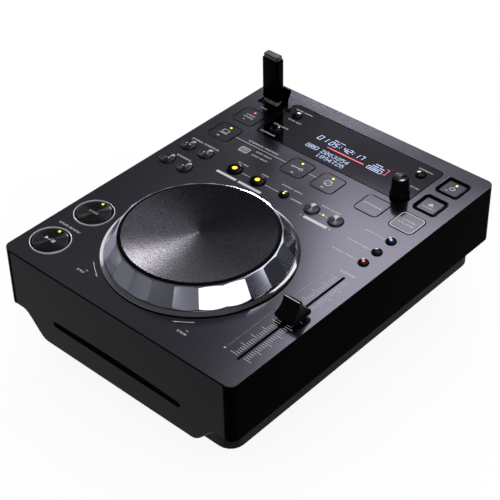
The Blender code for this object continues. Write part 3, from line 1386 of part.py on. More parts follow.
def switch_places():
    """One switch stands under the middle of each button and key."""
    places = [(BIG_X, PLAY_Y), (BIG_X, CUE_Y), (RIGHT_KEY_COLUMN, EJECT_Y), (RIGHT_KEY_COLUMN, STANDBY_Y)]
    places += [(x, y) for name, x, y, radius, rise in round_buttons()]
    places += [(x, y) for name, x, y in square_keys()]
    return places


def push_switches(board_top):
    """Small square switches, their pushers just short of the buttons pressed all the way."""
    bm = bmesh.new()
    pusher_top = PANEL_TOP - PANEL_THICK - FLANGE_THICK - PRESS_TRAVEL - 2 * GAP
    pusher = PUSHER_RADIUS * math.sqrt(2)
    for x, y in switch_places():
        rings = []
        for size, corner, z in (
            (SWITCH_SIZE, SWITCH_CORNER, board_top - GAP),
            (SWITCH_SIZE, SWITCH_CORNER, board_top + SWITCH_HEIGHT),
            (pusher, PUSHER_RADIUS / 3, board_top + SWITCH_HEIGHT),
            (pusher, PUSHER_RADIUS / 3, pusher_top),
        ):
            rings.append(rounded_points(size, size, corner, z, (x, y), 1))
        loft(rings, bm=bm)
    return bm


def power_board(root):
    """Supply board in the tray, with the mains inlet on its back edge."""
    low = BASE_UNDER + BASE_WALL + GAP
    high = low + BOARD_THICK
    back = BASE_BACK - BASE_WALL - POWER_BOARD_INSET
    bm = box((-POWER_BOARD_LEFT, POWER_BOARD_FRONT, low), (-POWER_BOARD_RIGHT, back, high))
    board = add_object("power_board", bm, "board_green", root, smooth=False)
    parts = bmesh.new()
    core_x = -POWER_BOARD_RIGHT - CORE_SIZE
    core_y = POWER_BOARD_FRONT + CORE_PLACE_SHARE * (back - POWER_BOARD_FRONT)
    can_y = POWER_BOARD_FRONT + CAN_PLACE_SHARE * (back - POWER_BOARD_FRONT)
    box((core_x - CORE_SIZE / 2, core_y - CORE_SIZE / 2, high - GAP),
        (core_x + CORE_SIZE / 2, core_y + CORE_SIZE / 2, high + CORE_HEIGHT), parts)
    for side in (0, 1):
        can_x = -POWER_BOARD_LEFT + 2 * CAN_RADIUS + side * 5 * CAN_RADIUS / 2
        lathe([(CAN_RADIUS, high - GAP), (CAN_RADIUS, high + CAN_HEIGHT)], ROUND_STEPS // 2,
              (can_x, can_y), False, parts)
    inlet_front = HALF_DEPTH - INLET_DEPTH
    reach = INLET_WIDTH / 2
    box((INLET_X - reach, inlet_front, high - GAP), (INLET_X + reach, back, INLET_Z), parts)
    join(board, parts, "parts")
    inlet = bmesh.new()
    box((INLET_X - reach, inlet_front - GAP, INLET_Z - INLET_HEIGHT / 2),
        (INLET_X + reach, HALF_DEPTH, INLET_Z + INLET_HEIGHT / 2), inlet)
    join(board, inlet, "inlet")
    cut(board, inlet_mouth(), "inlet_mouth")
    pins = bmesh.new()
    for side in (-1, 1):
        rod_along("Y", PIN_RADIUS, HALF_DEPTH - INLET_MOUTH_DEPTH - GAP, HALF_DEPTH - 2 * GAP,
                  (INLET_X + side * PIN_PITCH / 2, INLET_Z), ROUND_STEPS // 4, pins)
    join(board, pins, "pins")


def inlet_mouth():
    """Mouth shaped like a long slot with round ends, for a two-pole plug."""
    rings = []
    for y in (HALF_DEPTH - INLET_MOUTH_DEPTH, HALF_DEPTH + OVERRUN):
        flat = rounded_points(INLET_MOUTH_WIDTH, INLET_MOUTH_HEIGHT, INLET_MOUTH_HEIGHT / 2 - GAP, 0)
        rings.append([Vector((INLET_X + point.x, y, INLET_Z + point.y)) for point in flat])
    return loft(rings)


def jack_board(root):
    """Socket block behind the housing's back wall: two line jacks that stand out and a square port."""
    inner = HALF_DEPTH - SHELL_WALL - GAP
    front = inner - JACK_BLOCK_DEPTH
    half = JACK_BLOCK_HEIGHT / 2
    low_x = SOCKET_X - SOCKET_WIDTH
    high_x = JACK_X + JACK_PITCH
    bm = box((low_x, front, JACK_Z - half), (high_x, inner, JACK_Z + half))
    block = add_object("jack_board", bm, "black_plastic", root)
    stands = bmesh.new()
    for side in (-1, 1):
        middle = (JACK_X + side * JACK_PITCH / 2, JACK_Z)
        rod_along("Y", JACK_RADIUS, inner - GAP, HALF_DEPTH + JACK_REACH, middle, ROUND_STEPS // 4 * 3, stands)
    half_x = SOCKET_WIDTH / 2
    half_z = SOCKET_HEIGHT / 2
    box((SOCKET_X - half_x, inner - GAP, JACK_Z - half_z), (SOCKET_X + half_x, HALF_DEPTH, JACK_Z + half_z), stands)
    join(block, stands, "stands")
    bores = bmesh.new()
    for side in (-1, 1):
        middle = (JACK_X + side * JACK_PITCH / 2, JACK_Z)
        rod_along("Y", JACK_BORE, HALF_DEPTH, HALF_DEPTH + JACK_REACH + OVERRUN, middle, ROUND_STEPS // 4, bores)
    half_x = SOCKET_MOUTH_WIDTH / 2
    half_z = SOCKET_MOUTH_HEIGHT / 2
    box((SOCKET_X - half_x, HALF_DEPTH - SOCKET_DEPTH, JACK_Z - half_z),
        (SOCKET_X + half_x, HALF_DEPTH + OVERRUN, JACK_Z + half_z), bores)
    cut(block, bores, "mouths")


def build():
    clear_scene()
    root = empty("player", (0, -JACK_REACH / 2, 0))
    jog_axis = empty("jog_axis", (0, JOG_Y, PANEL_TOP))
    rotary_axis = empty("rotary_axis", (ROTARY_X, ROTARY_Y, PANEL_TOP))
    slider_axis = empty("slider_axis", (SLIDER_X, slider_middle(), PANEL_TOP))
    cover_axis = empty("cover_axis", (PORT_X, COVER_HINGE_Y, PANEL_TOP + COVER_HINGE_RISE))
    stick_axis = empty("stick_axis", (PORT_X, PORT_HOLE_Y, PANEL_TOP))
    spindle_axis = empty("spindle_axis", (0, SPINDLE_Y, 0))
    roller_axis = empty("roller_axis", (0, ROLLER_Y, roller_height()))
    for axis in (jog_axis, rotary_axis, slider_axis, cover_axis, stick_axis, spindle_axis, roller_axis):
        axis.parent = root
    upper_case(root)
    control_panel(root)
    front_fascia(root)
    base_tray(root)
    feet(root)
    display_window(root)
    display_module(root)
    jog_post(root)
    jog_bearing(jog_axis)
    jog_hub(jog_axis)
    jog_ring(jog_axis)
    jog_plate(jog_axis)
    for name, y in (("play", PLAY_Y), ("cue", CUE_Y)):
        trim_ring(f"{name}_ring", root, y)
        big_button(f"{name}_button", root, y)
    for name, x, y, radius, rise in round_buttons():
        round_button(name, root, x, y, radius, rise)
    for name, x, y in square_keys():
        square_key(name, root, x, y, KEY_SIZE, KEY_RISE, KEY_CORNER)
    for name, y in (("eject", EJECT_Y), ("standby", STANDBY_Y)):
        key_bezel(f"{name}_bezel", root, y)
        framed_key(f"{name}_key", root, y)
    rotary_knob(rotary_axis)
    rotary_shaft(rotary_axis)
    rotary_encoder(root)
    tempo_knob(slider_axis)
    tempo_lever(slider_axis)
    tempo_track(root)
    usb_port(root)
    usb_cover(cover_axis)
    usb_stick(stick_axis)
    drive_chassis(root)
    drive_cover(root)
    turntable(spindle_axis)
    feed_roller(roller_axis)
    main_board(root)
    power_board(root)
    jack_board(root)


build()
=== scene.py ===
"""Looks of the tabletop disc player. Panel places are in millimetres from the middle of the top panel."""
import json
import math

import bmesh
import bpy
from mathutils import Matrix, Vector

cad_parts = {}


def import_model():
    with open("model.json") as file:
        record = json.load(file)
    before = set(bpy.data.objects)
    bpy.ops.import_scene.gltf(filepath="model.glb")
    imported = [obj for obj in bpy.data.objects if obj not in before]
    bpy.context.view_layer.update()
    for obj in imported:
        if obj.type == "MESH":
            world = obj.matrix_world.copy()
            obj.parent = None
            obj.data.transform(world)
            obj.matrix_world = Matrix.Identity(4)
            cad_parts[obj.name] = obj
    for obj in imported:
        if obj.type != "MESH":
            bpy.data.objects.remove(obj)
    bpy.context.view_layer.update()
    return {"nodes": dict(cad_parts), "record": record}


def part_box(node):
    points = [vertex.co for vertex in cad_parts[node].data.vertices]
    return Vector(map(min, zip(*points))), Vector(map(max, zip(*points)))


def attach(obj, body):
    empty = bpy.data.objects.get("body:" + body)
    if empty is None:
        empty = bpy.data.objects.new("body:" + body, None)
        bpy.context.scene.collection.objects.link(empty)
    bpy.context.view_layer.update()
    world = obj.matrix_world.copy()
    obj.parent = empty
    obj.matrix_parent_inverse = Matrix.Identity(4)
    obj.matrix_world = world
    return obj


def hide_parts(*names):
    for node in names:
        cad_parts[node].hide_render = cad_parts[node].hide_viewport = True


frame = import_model()
nodes = frame["nodes"]

MM = 0.001
PANEL_TOP = 0.0903
PANEL_SHIFT = -0.00475
TO_WORLD = Matrix.Translation((0, PANEL_SHIFT, PANEL_TOP)) @ Matrix.Scale(MM, 4)

JOG = (0.0, -56.6)
PLAY = (-88.3, -117.0)
CUE = (-88.3, -75.0)

# Values of the materials: noise scales are per metre, bump depths in metres
MOULDED_IOR = 1.5
FINE_GRAIN = 2200.0
FINE_DETAIL = 3.0
BROAD_PATCH = 28.0
BROAD_DETAIL = 4.0
SPUN_METALLIC = 0.95
SPUN_DEPTH = 0.000002
SPUN_SPREAD = 0.2
SPUN_ROUGH_SHARE = 0.15
QUARTER_TURN = 0.25
PLATE_CELLS = 2000.0
PLATE_GRAIN = 1500.0
PLATE_GRAIN_DEPTH = 0.00002
PLATE_DARK = (0.020, 0.0178, 0.0255)
PLATE_LIGHT = (0.078, 0.0712, 0.089)
PLATE_ROUGH = (0.24, 0.30)
PLATE_ANISOTROPY = 0.12
PLATE_DISH = 0.123
PLATE_CURVE = 1.36
BOARD_GREEN = (0.012, 0.075, 0.030)
INLET_DARK = (0.004, 0.004, 0.005)
INLET_LIGHT = (0.008, 0.008, 0.009)
INLET_LENGTH = 0.022
INLET_SEAM = 0.0001
LAMP_GRAIN = 900.0
LAMP_EDGE_SHARE = 0.9
LAMP_ROUGH = 0.3
PANEL_METAL = (0.226, 0.215, 0.272)


def new_material(name):
    made = bpy.data.materials.new(name)
    made.use_nodes = True
    tree = made.node_tree
    return made, tree, tree.nodes["Principled BSDF"]


def fill(made, **values):
    """Sets a node's inputs, each to a value or to another node's output. Names have _ for each space."""
    for key, value in values.items():
        socket = made.inputs[key.replace("_", " ")]
        if isinstance(value, bpy.types.NodeSocket):
            made.id_data.links.new(value, socket)
        else:
            socket.default_value = value


def node(tree, kind, **settings):
    made = tree.nodes.new(kind)
    for key, value in settings.items():
        setattr(made, key, value)
    return made


def noise(tree, source, scale, detail=2.0):
    made = node(tree, "ShaderNodeTexNoise")
    fill(made, Scale=scale, Detail=detail, Vector=source)
    return made.outputs["Fac"]


def mapped(tree, source, low, high, from_low=0.3, from_high=0.7):
    """A level carried from one range to another. The default range is where noise lies."""
    made = node(tree, "ShaderNodeMapRange")
    fill(made, Value=source, From_Min=from_low, From_Max=from_high, To_Min=low, To_Max=high)
    return made.outputs["Result"]


def combined(tree, first, second, operation):
    made = node(tree, "ShaderNodeMath", operation=operation)
    tree.links.new(first, made.inputs[0])
    tree.links.new(second, made.inputs[1])
    return made.outputs[0]


def scaled(tree, source, factor, extra):
    """A level times a factor, with another level added."""
    made = node(tree, "ShaderNodeMath", operation="MULTIPLY_ADD")
    made.inputs[1].default_value = factor
    tree.links.new(source, made.inputs[0])
    tree.links.new(extra, made.inputs[2])
    return made.outputs[0]


def vector_step(tree, source, operation, value=(0, 0, 0)):
    made = node(tree, "ShaderNodeVectorMath", operation=operation)
    made.inputs[1].default_value = value
    tree.links.new(source, made.inputs[0])
    return made.outputs


def flat_distance(tree, place, middle):
    """How far a place lies from a middle, seen from above."""
    offset = vector_step(tree, place, "SUBTRACT", middle)[0]
    flat = vector_step(tree, offset, "MULTIPLY", (1, 1, 0))[0]
    return vector_step(tree, flat, "LENGTH")["Value"]


def mixed(tree, factor, low, high):
    """A colour between two, each given as a colour or as a socket."""
    made = node(tree, "ShaderNodeMix", data_type="RGBA")
    tree.links.new(factor, made.inputs[0])
    for socket, colour in ((made.inputs[6], low), (made.inputs[7], high)):
        if isinstance(colour, tuple):
            socket.default_value = (*colour, 1)
        else:
            tree.links.new(colour, socket)
    return made.outputs[2]


def shades(colour, spread):
    """The darker and the lighter shade of a colour."""
    return tuple(c * (1 - spread) for c in colour), tuple(min(1.0, c * (1 + spread)) for c in colour)


def bumped(tree, shader, height, distance):
    made = node(tree, "ShaderNodeBump")
    fill(made, Distance=distance, Strength=1.0, Height=height)
    fill(shader, Normal=made.outputs["Normal"])


def fanned(tree, shader, anisotropy):
    """Lets the highlight fan out from the middle, as on turned metal."""
    tangent = node(tree, "ShaderNodeTangent", direction_type="RADIAL", axis="Z")
    fill(shader, Tangent=tangent.outputs[0], Anisotropic=anisotropy, Anisotropic_Rotation=QUARTER_TURN)


def finish(name, colour, rough, metallic=0.0, spread=0.18, grain=FINE_GRAIN, depth=0.000012,
           rough_spread=0.05, specular=0.5, patch=BROAD_PATCH):
    """A moulded or painted finish: fine grain in the bump, soft patches in colour and roughness."""
    made, tree, shader = new_material(name)
    place = node(tree, "ShaderNodeTexCoord").outputs["Object"]
    fine = noise(tree, place, grain, FINE_DETAIL)
    broad = noise(tree, place, patch, BROAD_DETAIL)
    mottle = mapped(tree, combined(tree, fine, broad, "ADD"), 0, 1, 0.7, 1.3)
    fill(shader, Base_Color=mixed(tree, mottle, *shades(colour, spread)), Metallic=metallic,
         Roughness=mapped(tree, broad, rough - rough_spread, rough + rough_spread),
         Specular_IOR_Level=specular, IOR=MOULDED_IOR)
    if depth:
        bumped(tree, shader, fine, depth)
    return made


def spun(name, colour, rough, anisotropy, rings):
    """Turned metal or its moulded likeness: fine concentric rings and a highlight that fans out."""
    made, tree, shader = new_material(name)
    place = node(tree, "ShaderNodeTexCoord").outputs["Generated"]
    ring = node(tree, "ShaderNodeTexNoise", noise_dimensions="1D")
    fill(ring, Scale=rings, Detail=FINE_DETAIL, W=flat_distance(tree, place, (0.5, 0.5, 0.5)))
    level = ring.outputs["Fac"]
    fill(shader, Base_Color=mixed(tree, level, *shades(colour, SPUN_SPREAD)), Metallic=SPUN_METALLIC,
         Roughness=mapped(tree, level, rough * (1 - SPUN_ROUGH_SHARE), rough * (1 + SPUN_ROUGH_SHARE)))
    fanned(tree, shader, anisotropy)
    bumped(tree, shader, level, SPUN_DEPTH)
    return made


def plate_black():
    """The touch plate's black finish: metallic grain over fine rings that lean a little to the middle."""
    made, tree, shader = new_material("plate_black")
    place = node(tree, "ShaderNodeTexCoord").outputs["Object"]
    cells = node(tree, "ShaderNodeTexVoronoi")
    fill(cells, Scale=PLATE_CELLS, Vector=place)
    sparkle = node(tree, "ShaderNodeSeparateColor")
    fill(sparkle, Color=cells.outputs["Color"])
    glint = mapped(tree, sparkle.outputs[0], 0, 1, 0.15, 1.0)
    fine = noise(tree, place, PLATE_GRAIN, BROAD_DETAIL)
    fill(shader, Base_Color=mixed(tree, glint, PLATE_DARK, PLATE_LIGHT), Metallic=SPUN_METALLIC,
         Roughness=mapped(tree, fine, *PLATE_ROUGH))
    fanned(tree, shader, PLATE_ANISOTROPY)
    radius = flat_distance(tree, place, (0, PANEL_SHIFT + JOG[1] * MM, 0))
    height = scaled(tree, radius, PLATE_DISH, mapped(tree, fine, 0.0, PLATE_GRAIN_DEPTH, 0.0, 1.0))
    height = scaled(tree, combined(tree, radius, radius, "MULTIPLY"), PLATE_CURVE, height)
    bumped(tree, shader, height, 1.0)
    return made


def supply_board():
    """Green resist on the board and black moulding where its mains inlet comes through the back."""
    made = finish("supply_board_resist", BOARD_GREEN, 0.38, spread=0.3, specular=0.08, patch=300)
    tree = made.node_tree
    colour = tree.nodes["Principled BSDF"].inputs["Base Color"]
    place = node(tree, "ShaderNodeNewGeometry").outputs["Position"]
    split = node(tree, "ShaderNodeSeparateXYZ")
    fill(split, Vector=place)
    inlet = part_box("power_board")[1][1] - INLET_LENGTH
    mask = mapped(tree, split.outputs["Y"], 0.0, 1.0, inlet, inlet + INLET_SEAM)
    black = mixed(tree, noise(tree, place, FINE_GRAIN, FINE_DETAIL), INLET_DARK, INLET_LIGHT)
    tree.links.new(mixed(tree, mask, colour.links[0].from_socket, black), colour)
    return made


def lit(name, colour, strength):
    """A lit lamp or display segment, with a faint grain in its glow."""
    made, tree, shader = new_material(name)
    grain = noise(tree, node(tree, "ShaderNodeTexCoord").outputs["Object"], LAMP_GRAIN)
    tone = mixed(tree, grain, tuple(c * LAMP_EDGE_SHARE for c in colour), colour)
    fill(shader, Base_Color=tone, Emission_Color=tone, Emission_Strength=strength, Roughness=LAMP_ROUGH)
    return made


LOOK = {
    "satin_panel": finish("satin_panel_paint", PANEL_METAL, 0.15, metallic=1.0, spread=0.05,
                          rough_spread=0.01, depth=0.0, grain=3000),
    "fascia_paint": finish("fascia_paint", (0.0020, 0.0014, 0.0030), 0.30, spread=0.25, specular=0.04,
                           rough_spread=0.03, depth=0.000003, grain=3000),
    "gloss_black": finish("gloss_black_shell", (0.0004, 0.0004, 0.0005), 0.12, spread=0.3, specular=0.002,
                          rough_spread=0.03, depth=0.000002),
    "slate_plastic": finish("slate_tray", (0.004, 0.0045, 0.007), 0.42, spread=0.3, specular=0.03,
                            depth=0.00002, grain=1500),
    "foot_rubber": finish("foot_rubber_black", (0.012, 0.012, 0.012), 0.85, depth=0.00005, grain=900),
    "window_gloss": finish("window_smoked", (0.182, 0.172, 0.212), 0.07, metallic=1.0, spread=0.04,
                           rough_spread=0.01, depth=0.0),
    "display_glass": finish("display_glass_dark", (0.012, 0.010, 0.012), 0.12, depth=0.0),
    "jog_chrome": finish("jog_chrome_plate", (0.58, 0.60, 0.73), 0.15, metallic=1.0, spread=0.04,
                         rough_spread=0.02, depth=0.000001, grain=600),
    "jog_flange": finish("jog_flange_chrome", (0.66, 0.66, 0.69), 0.07, metallic=1.0, spread=0.04,
                         rough_spread=0.02, depth=0.0000005, grain=600),
    # Near-black paint on faces down in gaps between parts: painted shade, not the parts' own colour
    "gap_shade": finish("gap_painted_shade", (0.0015, 0.0015, 0.002), 0.6, specular=0.03, depth=0.00001),
    "jog_black": plate_black(),
    "ring_silver": finish("ring_satin_silver", (0.62, 0.60, 0.63), 0.42, metallic=0.6, spread=0.06,
                          depth=0.000002),
    "button_spun": spun("button_spun_black", (0.070, 0.067, 0.074), 0.27, 0.9, 34),
    "button_grey": spun("button_spun_grey", (0.080, 0.080, 0.090), 0.28, 0.9, 34),
    "button_big": spun("button_spun_wide", (0.050, 0.048, 0.054), 0.25, 0.92, 70),
    "knob_top": spun("knob_turned_top", (0.030, 0.030, 0.033), 0.26, 0.9, 50),
    "button_gloss": finish("button_gloss_black", (0.002, 0.002, 0.0025), 0.14, rough_spread=0.03,
                           depth=0.000001, specular=0.12),
    "bezel_gloss": finish("bezel_gloss_black", (0.0006, 0.0006, 0.0008), 0.10, rough_spread=0.02,
                          specular=0.16, depth=0.0000005),
    "key_grey": finish("key_satin_grey", PANEL_METAL, 0.14, metallic=1.0, spread=0.05, rough_spread=0.01,
                       depth=0.0, grain=3000),
    "steel": finish("turned_steel", (0.45, 0.45, 0.46), 0.30, metallic=1.0, depth=0.000004),
    "zinc_sheet": finish("zinc_sheet_metal", (0.50, 0.51, 0.52), 0.38, metallic=1.0, spread=0.25, patch=160,
                         depth=0.000004),
    "white_plastic": finish("natural_plastic", (0.70, 0.69, 0.65), 0.50, spread=0.05),
    "board_green": finish("board_green_resist", BOARD_GREEN, 0.38, spread=0.3, patch=300),
    "supply_board": supply_board(),
    "black_plastic": finish("black_moulding", (0.006, 0.006, 0.007), 0.36, spread=0.25, specular=0.15,
                            depth=0.00001),
    "knob_black": finish("knob_black_satin", (0.0015, 0.0015, 0.002), 0.28, spread=0.25, specular=0.06,
                         depth=0.000003),
    "stick_black": finish("stick_black_satin", (0.0003, 0.0004, 0.0007), 0.22, spread=0.25, specular=0.01,
                          depth=0.000002),
    "stick_cap": finish("stick_cap_satin", (0.012, 0.013, 0.019), 0.30, spread=0.15, specular=0.3,
                        depth=0.000004),
    "plug_metal": finish("plug_bright_metal", (0.50, 0.37, 0.33), 0.30, metallic=0.8, spread=0.08,
                         depth=0.000001),
    "roller_rubber": finish("roller_rubber_black", (0.020, 0.020, 0.020), 0.80),
    "print_grey": finish("print_light_grey", (0.50, 0.50, 0.52), 0.45, spread=0.08, specular=0.2),
    # Near-black lines in the seams round the flush keys and the window: painted shade
    "seam_shade": finish("seam_shade", (0.002, 0.002, 0.002), 0.5, spread=0.1, specular=0.01),
    "lamp_green": lit("lamp_green", (0.55, 0.95, 0.05), 1.6),
    "lamp_amber": lit("lamp_amber", (1.0, 0.55, 0.02), 1.5),
    "lamp_yellow": lit("lamp_yellow", (1.0, 0.62, 0.03), 1.3),
    "lamp_red": lit("lamp_red", (1.0, 0.12, 0.04), 1.6),
    "lamp_blue": lit("lamp_blue", (0.15, 0.28, 1.0), 2.4),
    "segment_blue": lit("segment_pale_blue", (0.50, 0.62, 0.90), 1.0),
    "segment_red": lit("segment_red", (0.55, 0.035, 0.055), 0.9),
}

# The record's slots that have no look of their own name, and the nodes that differ from their slot
SLOT_LOOK = {"button_black": "button_gloss"}
NODE_LOOK = {"front_fascia": "fascia_paint", "power_board": "supply_board", "rotary_knob": "knob_black",
             "tempo_knob": "knob_black", "usb_stick": "stick_black", "usb_cover": "stick_black",
             "usb_port": "stick_black"}

for part in frame["record"]["subparts"]:
    slot = part["material_slot"]
    look = NODE_LOOK.get(part["node"], SLOT_LOOK.get(slot, slot))
    found = nodes[part["node"]]
    found.data.materials.clear()
    found.data.materials.append(LOOK[look])


# Mesh helpers
def turned_point(centre, radius, share, z):
    """A point at that share of a full turn round a centre."""
    a = 2 * math.pi * share
    return (centre[0] + radius * math.cos(a), centre[1] + radius * math.sin(a), z)


def circle(centre, radius, z, steps):
    return [turned_point(centre, radius, k / steps, z) for k in range(steps)]


def rounded_ring(x, y, width, depth, corner, z, steps=8):
    """The outline of a rounded rectangle at a height."""
    points = []
    for k, (sx, sy) in enumerate(((1, 1), (-1, 1), (-1, -1), (1, -1))):
        middle = (x + sx * (width / 2 - corner), y + sy * (depth / 2 - corner))
        for s in range(steps + 1):
            points.append(turned_point(middle, corner, (k + s / steps) / 4, z))
    return points


def join_rings(bm, low, high, look=0):
    for k in range(len(low)):
        n = (k + 1) % len(low)
        bm.faces.new((low[k], low[n], high[n], high[k])).material_index = look


def ring_rows(bm, rings, looks):
    rows = [[bm.verts.new(p) for p in ring] for ring in rings]
    for i in range(len(rows) - 1):
        join_rings(bm, rows[i], rows[i + 1], looks[i] if looks else 0)
    return rows


def ring_loft(bm, rings, looks=None):
    """A closed solid through rings of points, from its flat foot to its flat top."""
    rows = ring_rows(bm, rings, looks)
    bm.faces.new(rows[0][::-1])
    bm.faces.new(rows[-1])


def tube(bm, rings, looks=None):
    """A closed ring shape: each ring of points joins the next, and the last joins the first."""
    rows = ring_rows(bm, rings, looks)
    join_rings(bm, rows[-1], rows[0], looks[-1] if looks else 0)


def lathe(bm, centre, profile, steps, looks=None):
    """Turns a profile of (radius, height) from its low middle to its high middle."""
    ring_loft(bm, [circle(centre, r, z, steps) for r, z in profile], looks)


def edge_arc(radius, top, edge, steps, rise=1.0):
    """A rounded edge as points of (radius, height), from its foot to the flat top."""
    points = []
    for s in range(steps + 1):
        a = math.pi / 2 * s / steps
        points.append((radius - edge * (1 - math.cos(a)), top - edge + rise * edge * math.sin(a)))
    return points


def slab(bm, points, low, high):
    """A closed flat piece from an outline given anticlockwise."""
    ring_loft(bm, [[(x, y, low) for x, y in points], [(x, y, high) for x, y in points]])


def bar(bm, x0, y0, x1, y1, low, high):
    slab(bm, ((x0, y0), (x1, y0), (x1, y1), (x0, y1)), low, high)


def node_top(name):
    """How far a node's top stands over the panel, in millimetres."""
    return (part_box(name)[1][2] - PANEL_TOP) / MM


def new_mesh(name, bm):
    mesh = bpy.data.meshes.new(name)
    bm.to_mesh(mesh)
    bm.free()
    return mesh


def new_object(name, data):
    made = bpy.data.objects.new(name, data)
    bpy.context.scene.collection.objects.link(made)
    return made


def piece(name, bm, look, body, replaces=(), smooth=30.0):
    """Makes the mesh an object of the scene, on its body. Smooth is the sharp edges' least angle, or 0."""
    bmesh.ops.transform(bm, matrix=TO_WORLD, verts=bm.verts)
    bmesh.ops.recalc_face_normals(bm, faces=bm.faces)
    mesh = new_mesh(name, bm)
    if smooth:
        mesh.shade_smooth()
        mesh.set_sharp_from_angle(angle=math.radians(smooth))
    for one in look if isinstance(look, tuple) else (look,):
        mesh.materials.append(LOOK[one])
    made = new_object(name, mesh)
    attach(made, body)
    if replaces:
        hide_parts(*replaces)


# Jog wheel. Sections are rings of (radius, height over the panel)
SCALLOPS = 23
FACET_STEPS = 12
FACET_ROWS = 9
FACET_DIP = 0.78
FACET_FOOT = 4.6
BAND_RADIUS = 66.5
BROW_RADIUS = 58.6
LAND_RADIUS = 57.1
RING_TOP = 16.8
TOP_LEAN = 0.28
BROW_DROP = 0.05
BROW_BEVEL = (0.12, 0.08)
LAND_DROP = 0.02
RING_SHARP = 13
FLANGE = ((64.0, 0.7), (69.6, 0.7), (70.0, 0.95), (70.0, 1.25), (69.93, 1.42), (69.8, 1.55), (69.6, 1.66),
          (69.0, 1.9), (68.4, 2.14), (67.8, 2.37), (67.5, 2.46), (67.25, 2.44), (67.05, 2.3), (66.9, 2.0),
          (BAND_RADIUS, 1.7))
# The groove's walls take the gap look: painted shade in the gap round the touch plate
GROOVE = ((57.05, 14.6), (53.6, 14.6), (53.6, 12.8), (56.4, 12.8))

PLATE_RADIUS = 56.8
PLATE_TOP = 17.6
PLATE_EDGE = 1.3
PLATE_EDGE_STEPS = 6
PLATE_FOOT = ((56.3, 15.5), (56.8, 15.8))
PLATE_FLATS = (54.4, 40.0, 20.0, 4.0, 0.5)
PLATE_STEPS = 160


def facet_column(across):
    """The ring's side at a place across one hollow facet, from -1 to 1: band, facet rows and bright brow."""
    slope = (BAND_RADIUS - BROW_RADIUS) / (RING_TOP - FACET_FOOT)
    dip = FACET_DIP * (1 - across * across)
    foot = FACET_FOOT - dip / slope
    brow = RING_TOP - BROW_DROP - (BROW_RADIUS - dip - LAND_RADIUS) * TOP_LEAN
    column = [(BAND_RADIUS, foot)]
    for s in range(1, FACET_ROWS + 1):
        z = foot + (brow - foot) * s / FACET_ROWS
        column.append((BROW_RADIUS + slope * (RING_TOP - z) - dip, z))
    bevel_in, bevel_up = BROW_BEVEL
    column.append((BROW_RADIUS - dip + slope * (RING_TOP - brow) - bevel_in, brow + bevel_up))
    return column


def jog_ring():
    """The scalloped ring on its polished flange. The walls of its groove round the touch plate are painted
    near-black as painted shade in the gap.
    """
    columns = SCALLOPS * FACET_STEPS
    sections = []
    for k in range(columns):
        facet = facet_column((k % FACET_STEPS) / FACET_STEPS * 2 - 1)
        sections.append([*FLANGE, *facet, (LAND_RADIUS, RING_TOP - LAND_DROP), *GROOVE])
    rings = []
    for row in zip(*sections):
        rings.append([turned_point(JOG, r, k / columns, z) for k, (r, z) in enumerate(row)])
    looks = [2] * len(FLANGE) + [0] * (FACET_ROWS + 2) + [1] * (len(GROOVE) + 1)
    bm = bmesh.new()
    tube(bm, rings, looks)
    piece("jog_ring_facets", bm, ("jog_chrome", "gap_shade", "jog_flange"), "jog", ("jog_ring",),
          smooth=RING_SHARP)


def jog_plate():
    """The touch plate with its rounded edge, painted near-black as painted shade where it meets the groove.
    """
    side = [*PLATE_FOOT, *edge_arc(PLATE_RADIUS, PLATE_TOP, PLATE_EDGE, PLATE_EDGE_STEPS)]
    flats = [(radius, PLATE_TOP) for radius in PLATE_FLATS]
    bm = bmesh.new()
    lathe(bm, JOG, side + flats, PLATE_STEPS, [1] * len(side) + [0] * (len(flats) - 1))
    piece("jog_touch_plate", bm, ("jog_black", "gap_shade"), "touch_plate", ("jog_plate",))


# Round buttons
TRIM_SECTION = ((13.6, -2.0), (13.6, -0.2), (14.4, -0.2), (14.42, 0.6), (14.55, 0.82), (14.8, 0.9),
                (15.05, 0.8), (15.2, 0.5), (15.2, 0.02), (14.45, 0.0), (14.45, -2.0))
# The trim's first bands, its inner wall and land down in the gap round the cap, take the gap look: painted
# shade
TRIM_LAND_BANDS = 2
CAP_PROFILE = ((13.1, -2.0), (13.15, 0.25), (13.05, 0.55), (12.8, 0.8), (12.4, 0.95), (11.9, 1.0), (8, 0.93),
               (4, 0.87), (0.3, 0.85))
CAP_STEPS = 96
CAP_SIGN_HEIGHT = 0.98

BUTTON_FOOT = -2.0
BUTTON_EDGE = 1.0
BUTTON_EDGE_SHARE = 0.6
BUTTON_EDGE_RISE = 0.7
BUTTON_EDGE_STEPS = 5
BUTTON_STEPS = 64
CROWN_SHARES = (0.85, 0.65, 0.45, 0.25, 0.06)
# Each round button's middle, radius and look
ROUND = {
    "track_back_button": (-96.7, 31.9, 6.2, "button_spun"),
    "track_forward_button": (-78.8, 31.9, 6.2, "button_spun"),
    "search_back_button": (-96.7, 8.7, 6.2, "button_spun"),
    "search_forward_button": (-78.8, 8.7, 6.2, "button_spun"),
    "loop_in_button": (-48.4, 31.5, 6.3, "button_gloss"),
    "loop_out_button": (-25.6, 31.5, 6.3, "button_gloss"),
    "reloop_button": (0.2, 31.5, 3.9, "button_gloss"),
    "beat_half_button": (27.0, 31.5, 6.0, "button_grey"),
    "beat_double_button": (49.3, 31.5, 6.0, "button_grey"),
    "vinyl_button": (93.2, 39.2, 3.9, "button_gloss"),
    "tempo_range_button": (93.2, 23.3, 3.9, "button_gloss"),
    "master_tempo_button": (93.2, 8.2, 3.9, "button_gloss"),
    "time_mode_button": (-60.1, 116.9, 4.2, "button_gloss"),
    "menu_button": (-60.1, 91.5, 4.2, "button_gloss"),
    "back_button": (61.0, 116.8, 4.2, "button_gloss"),
}


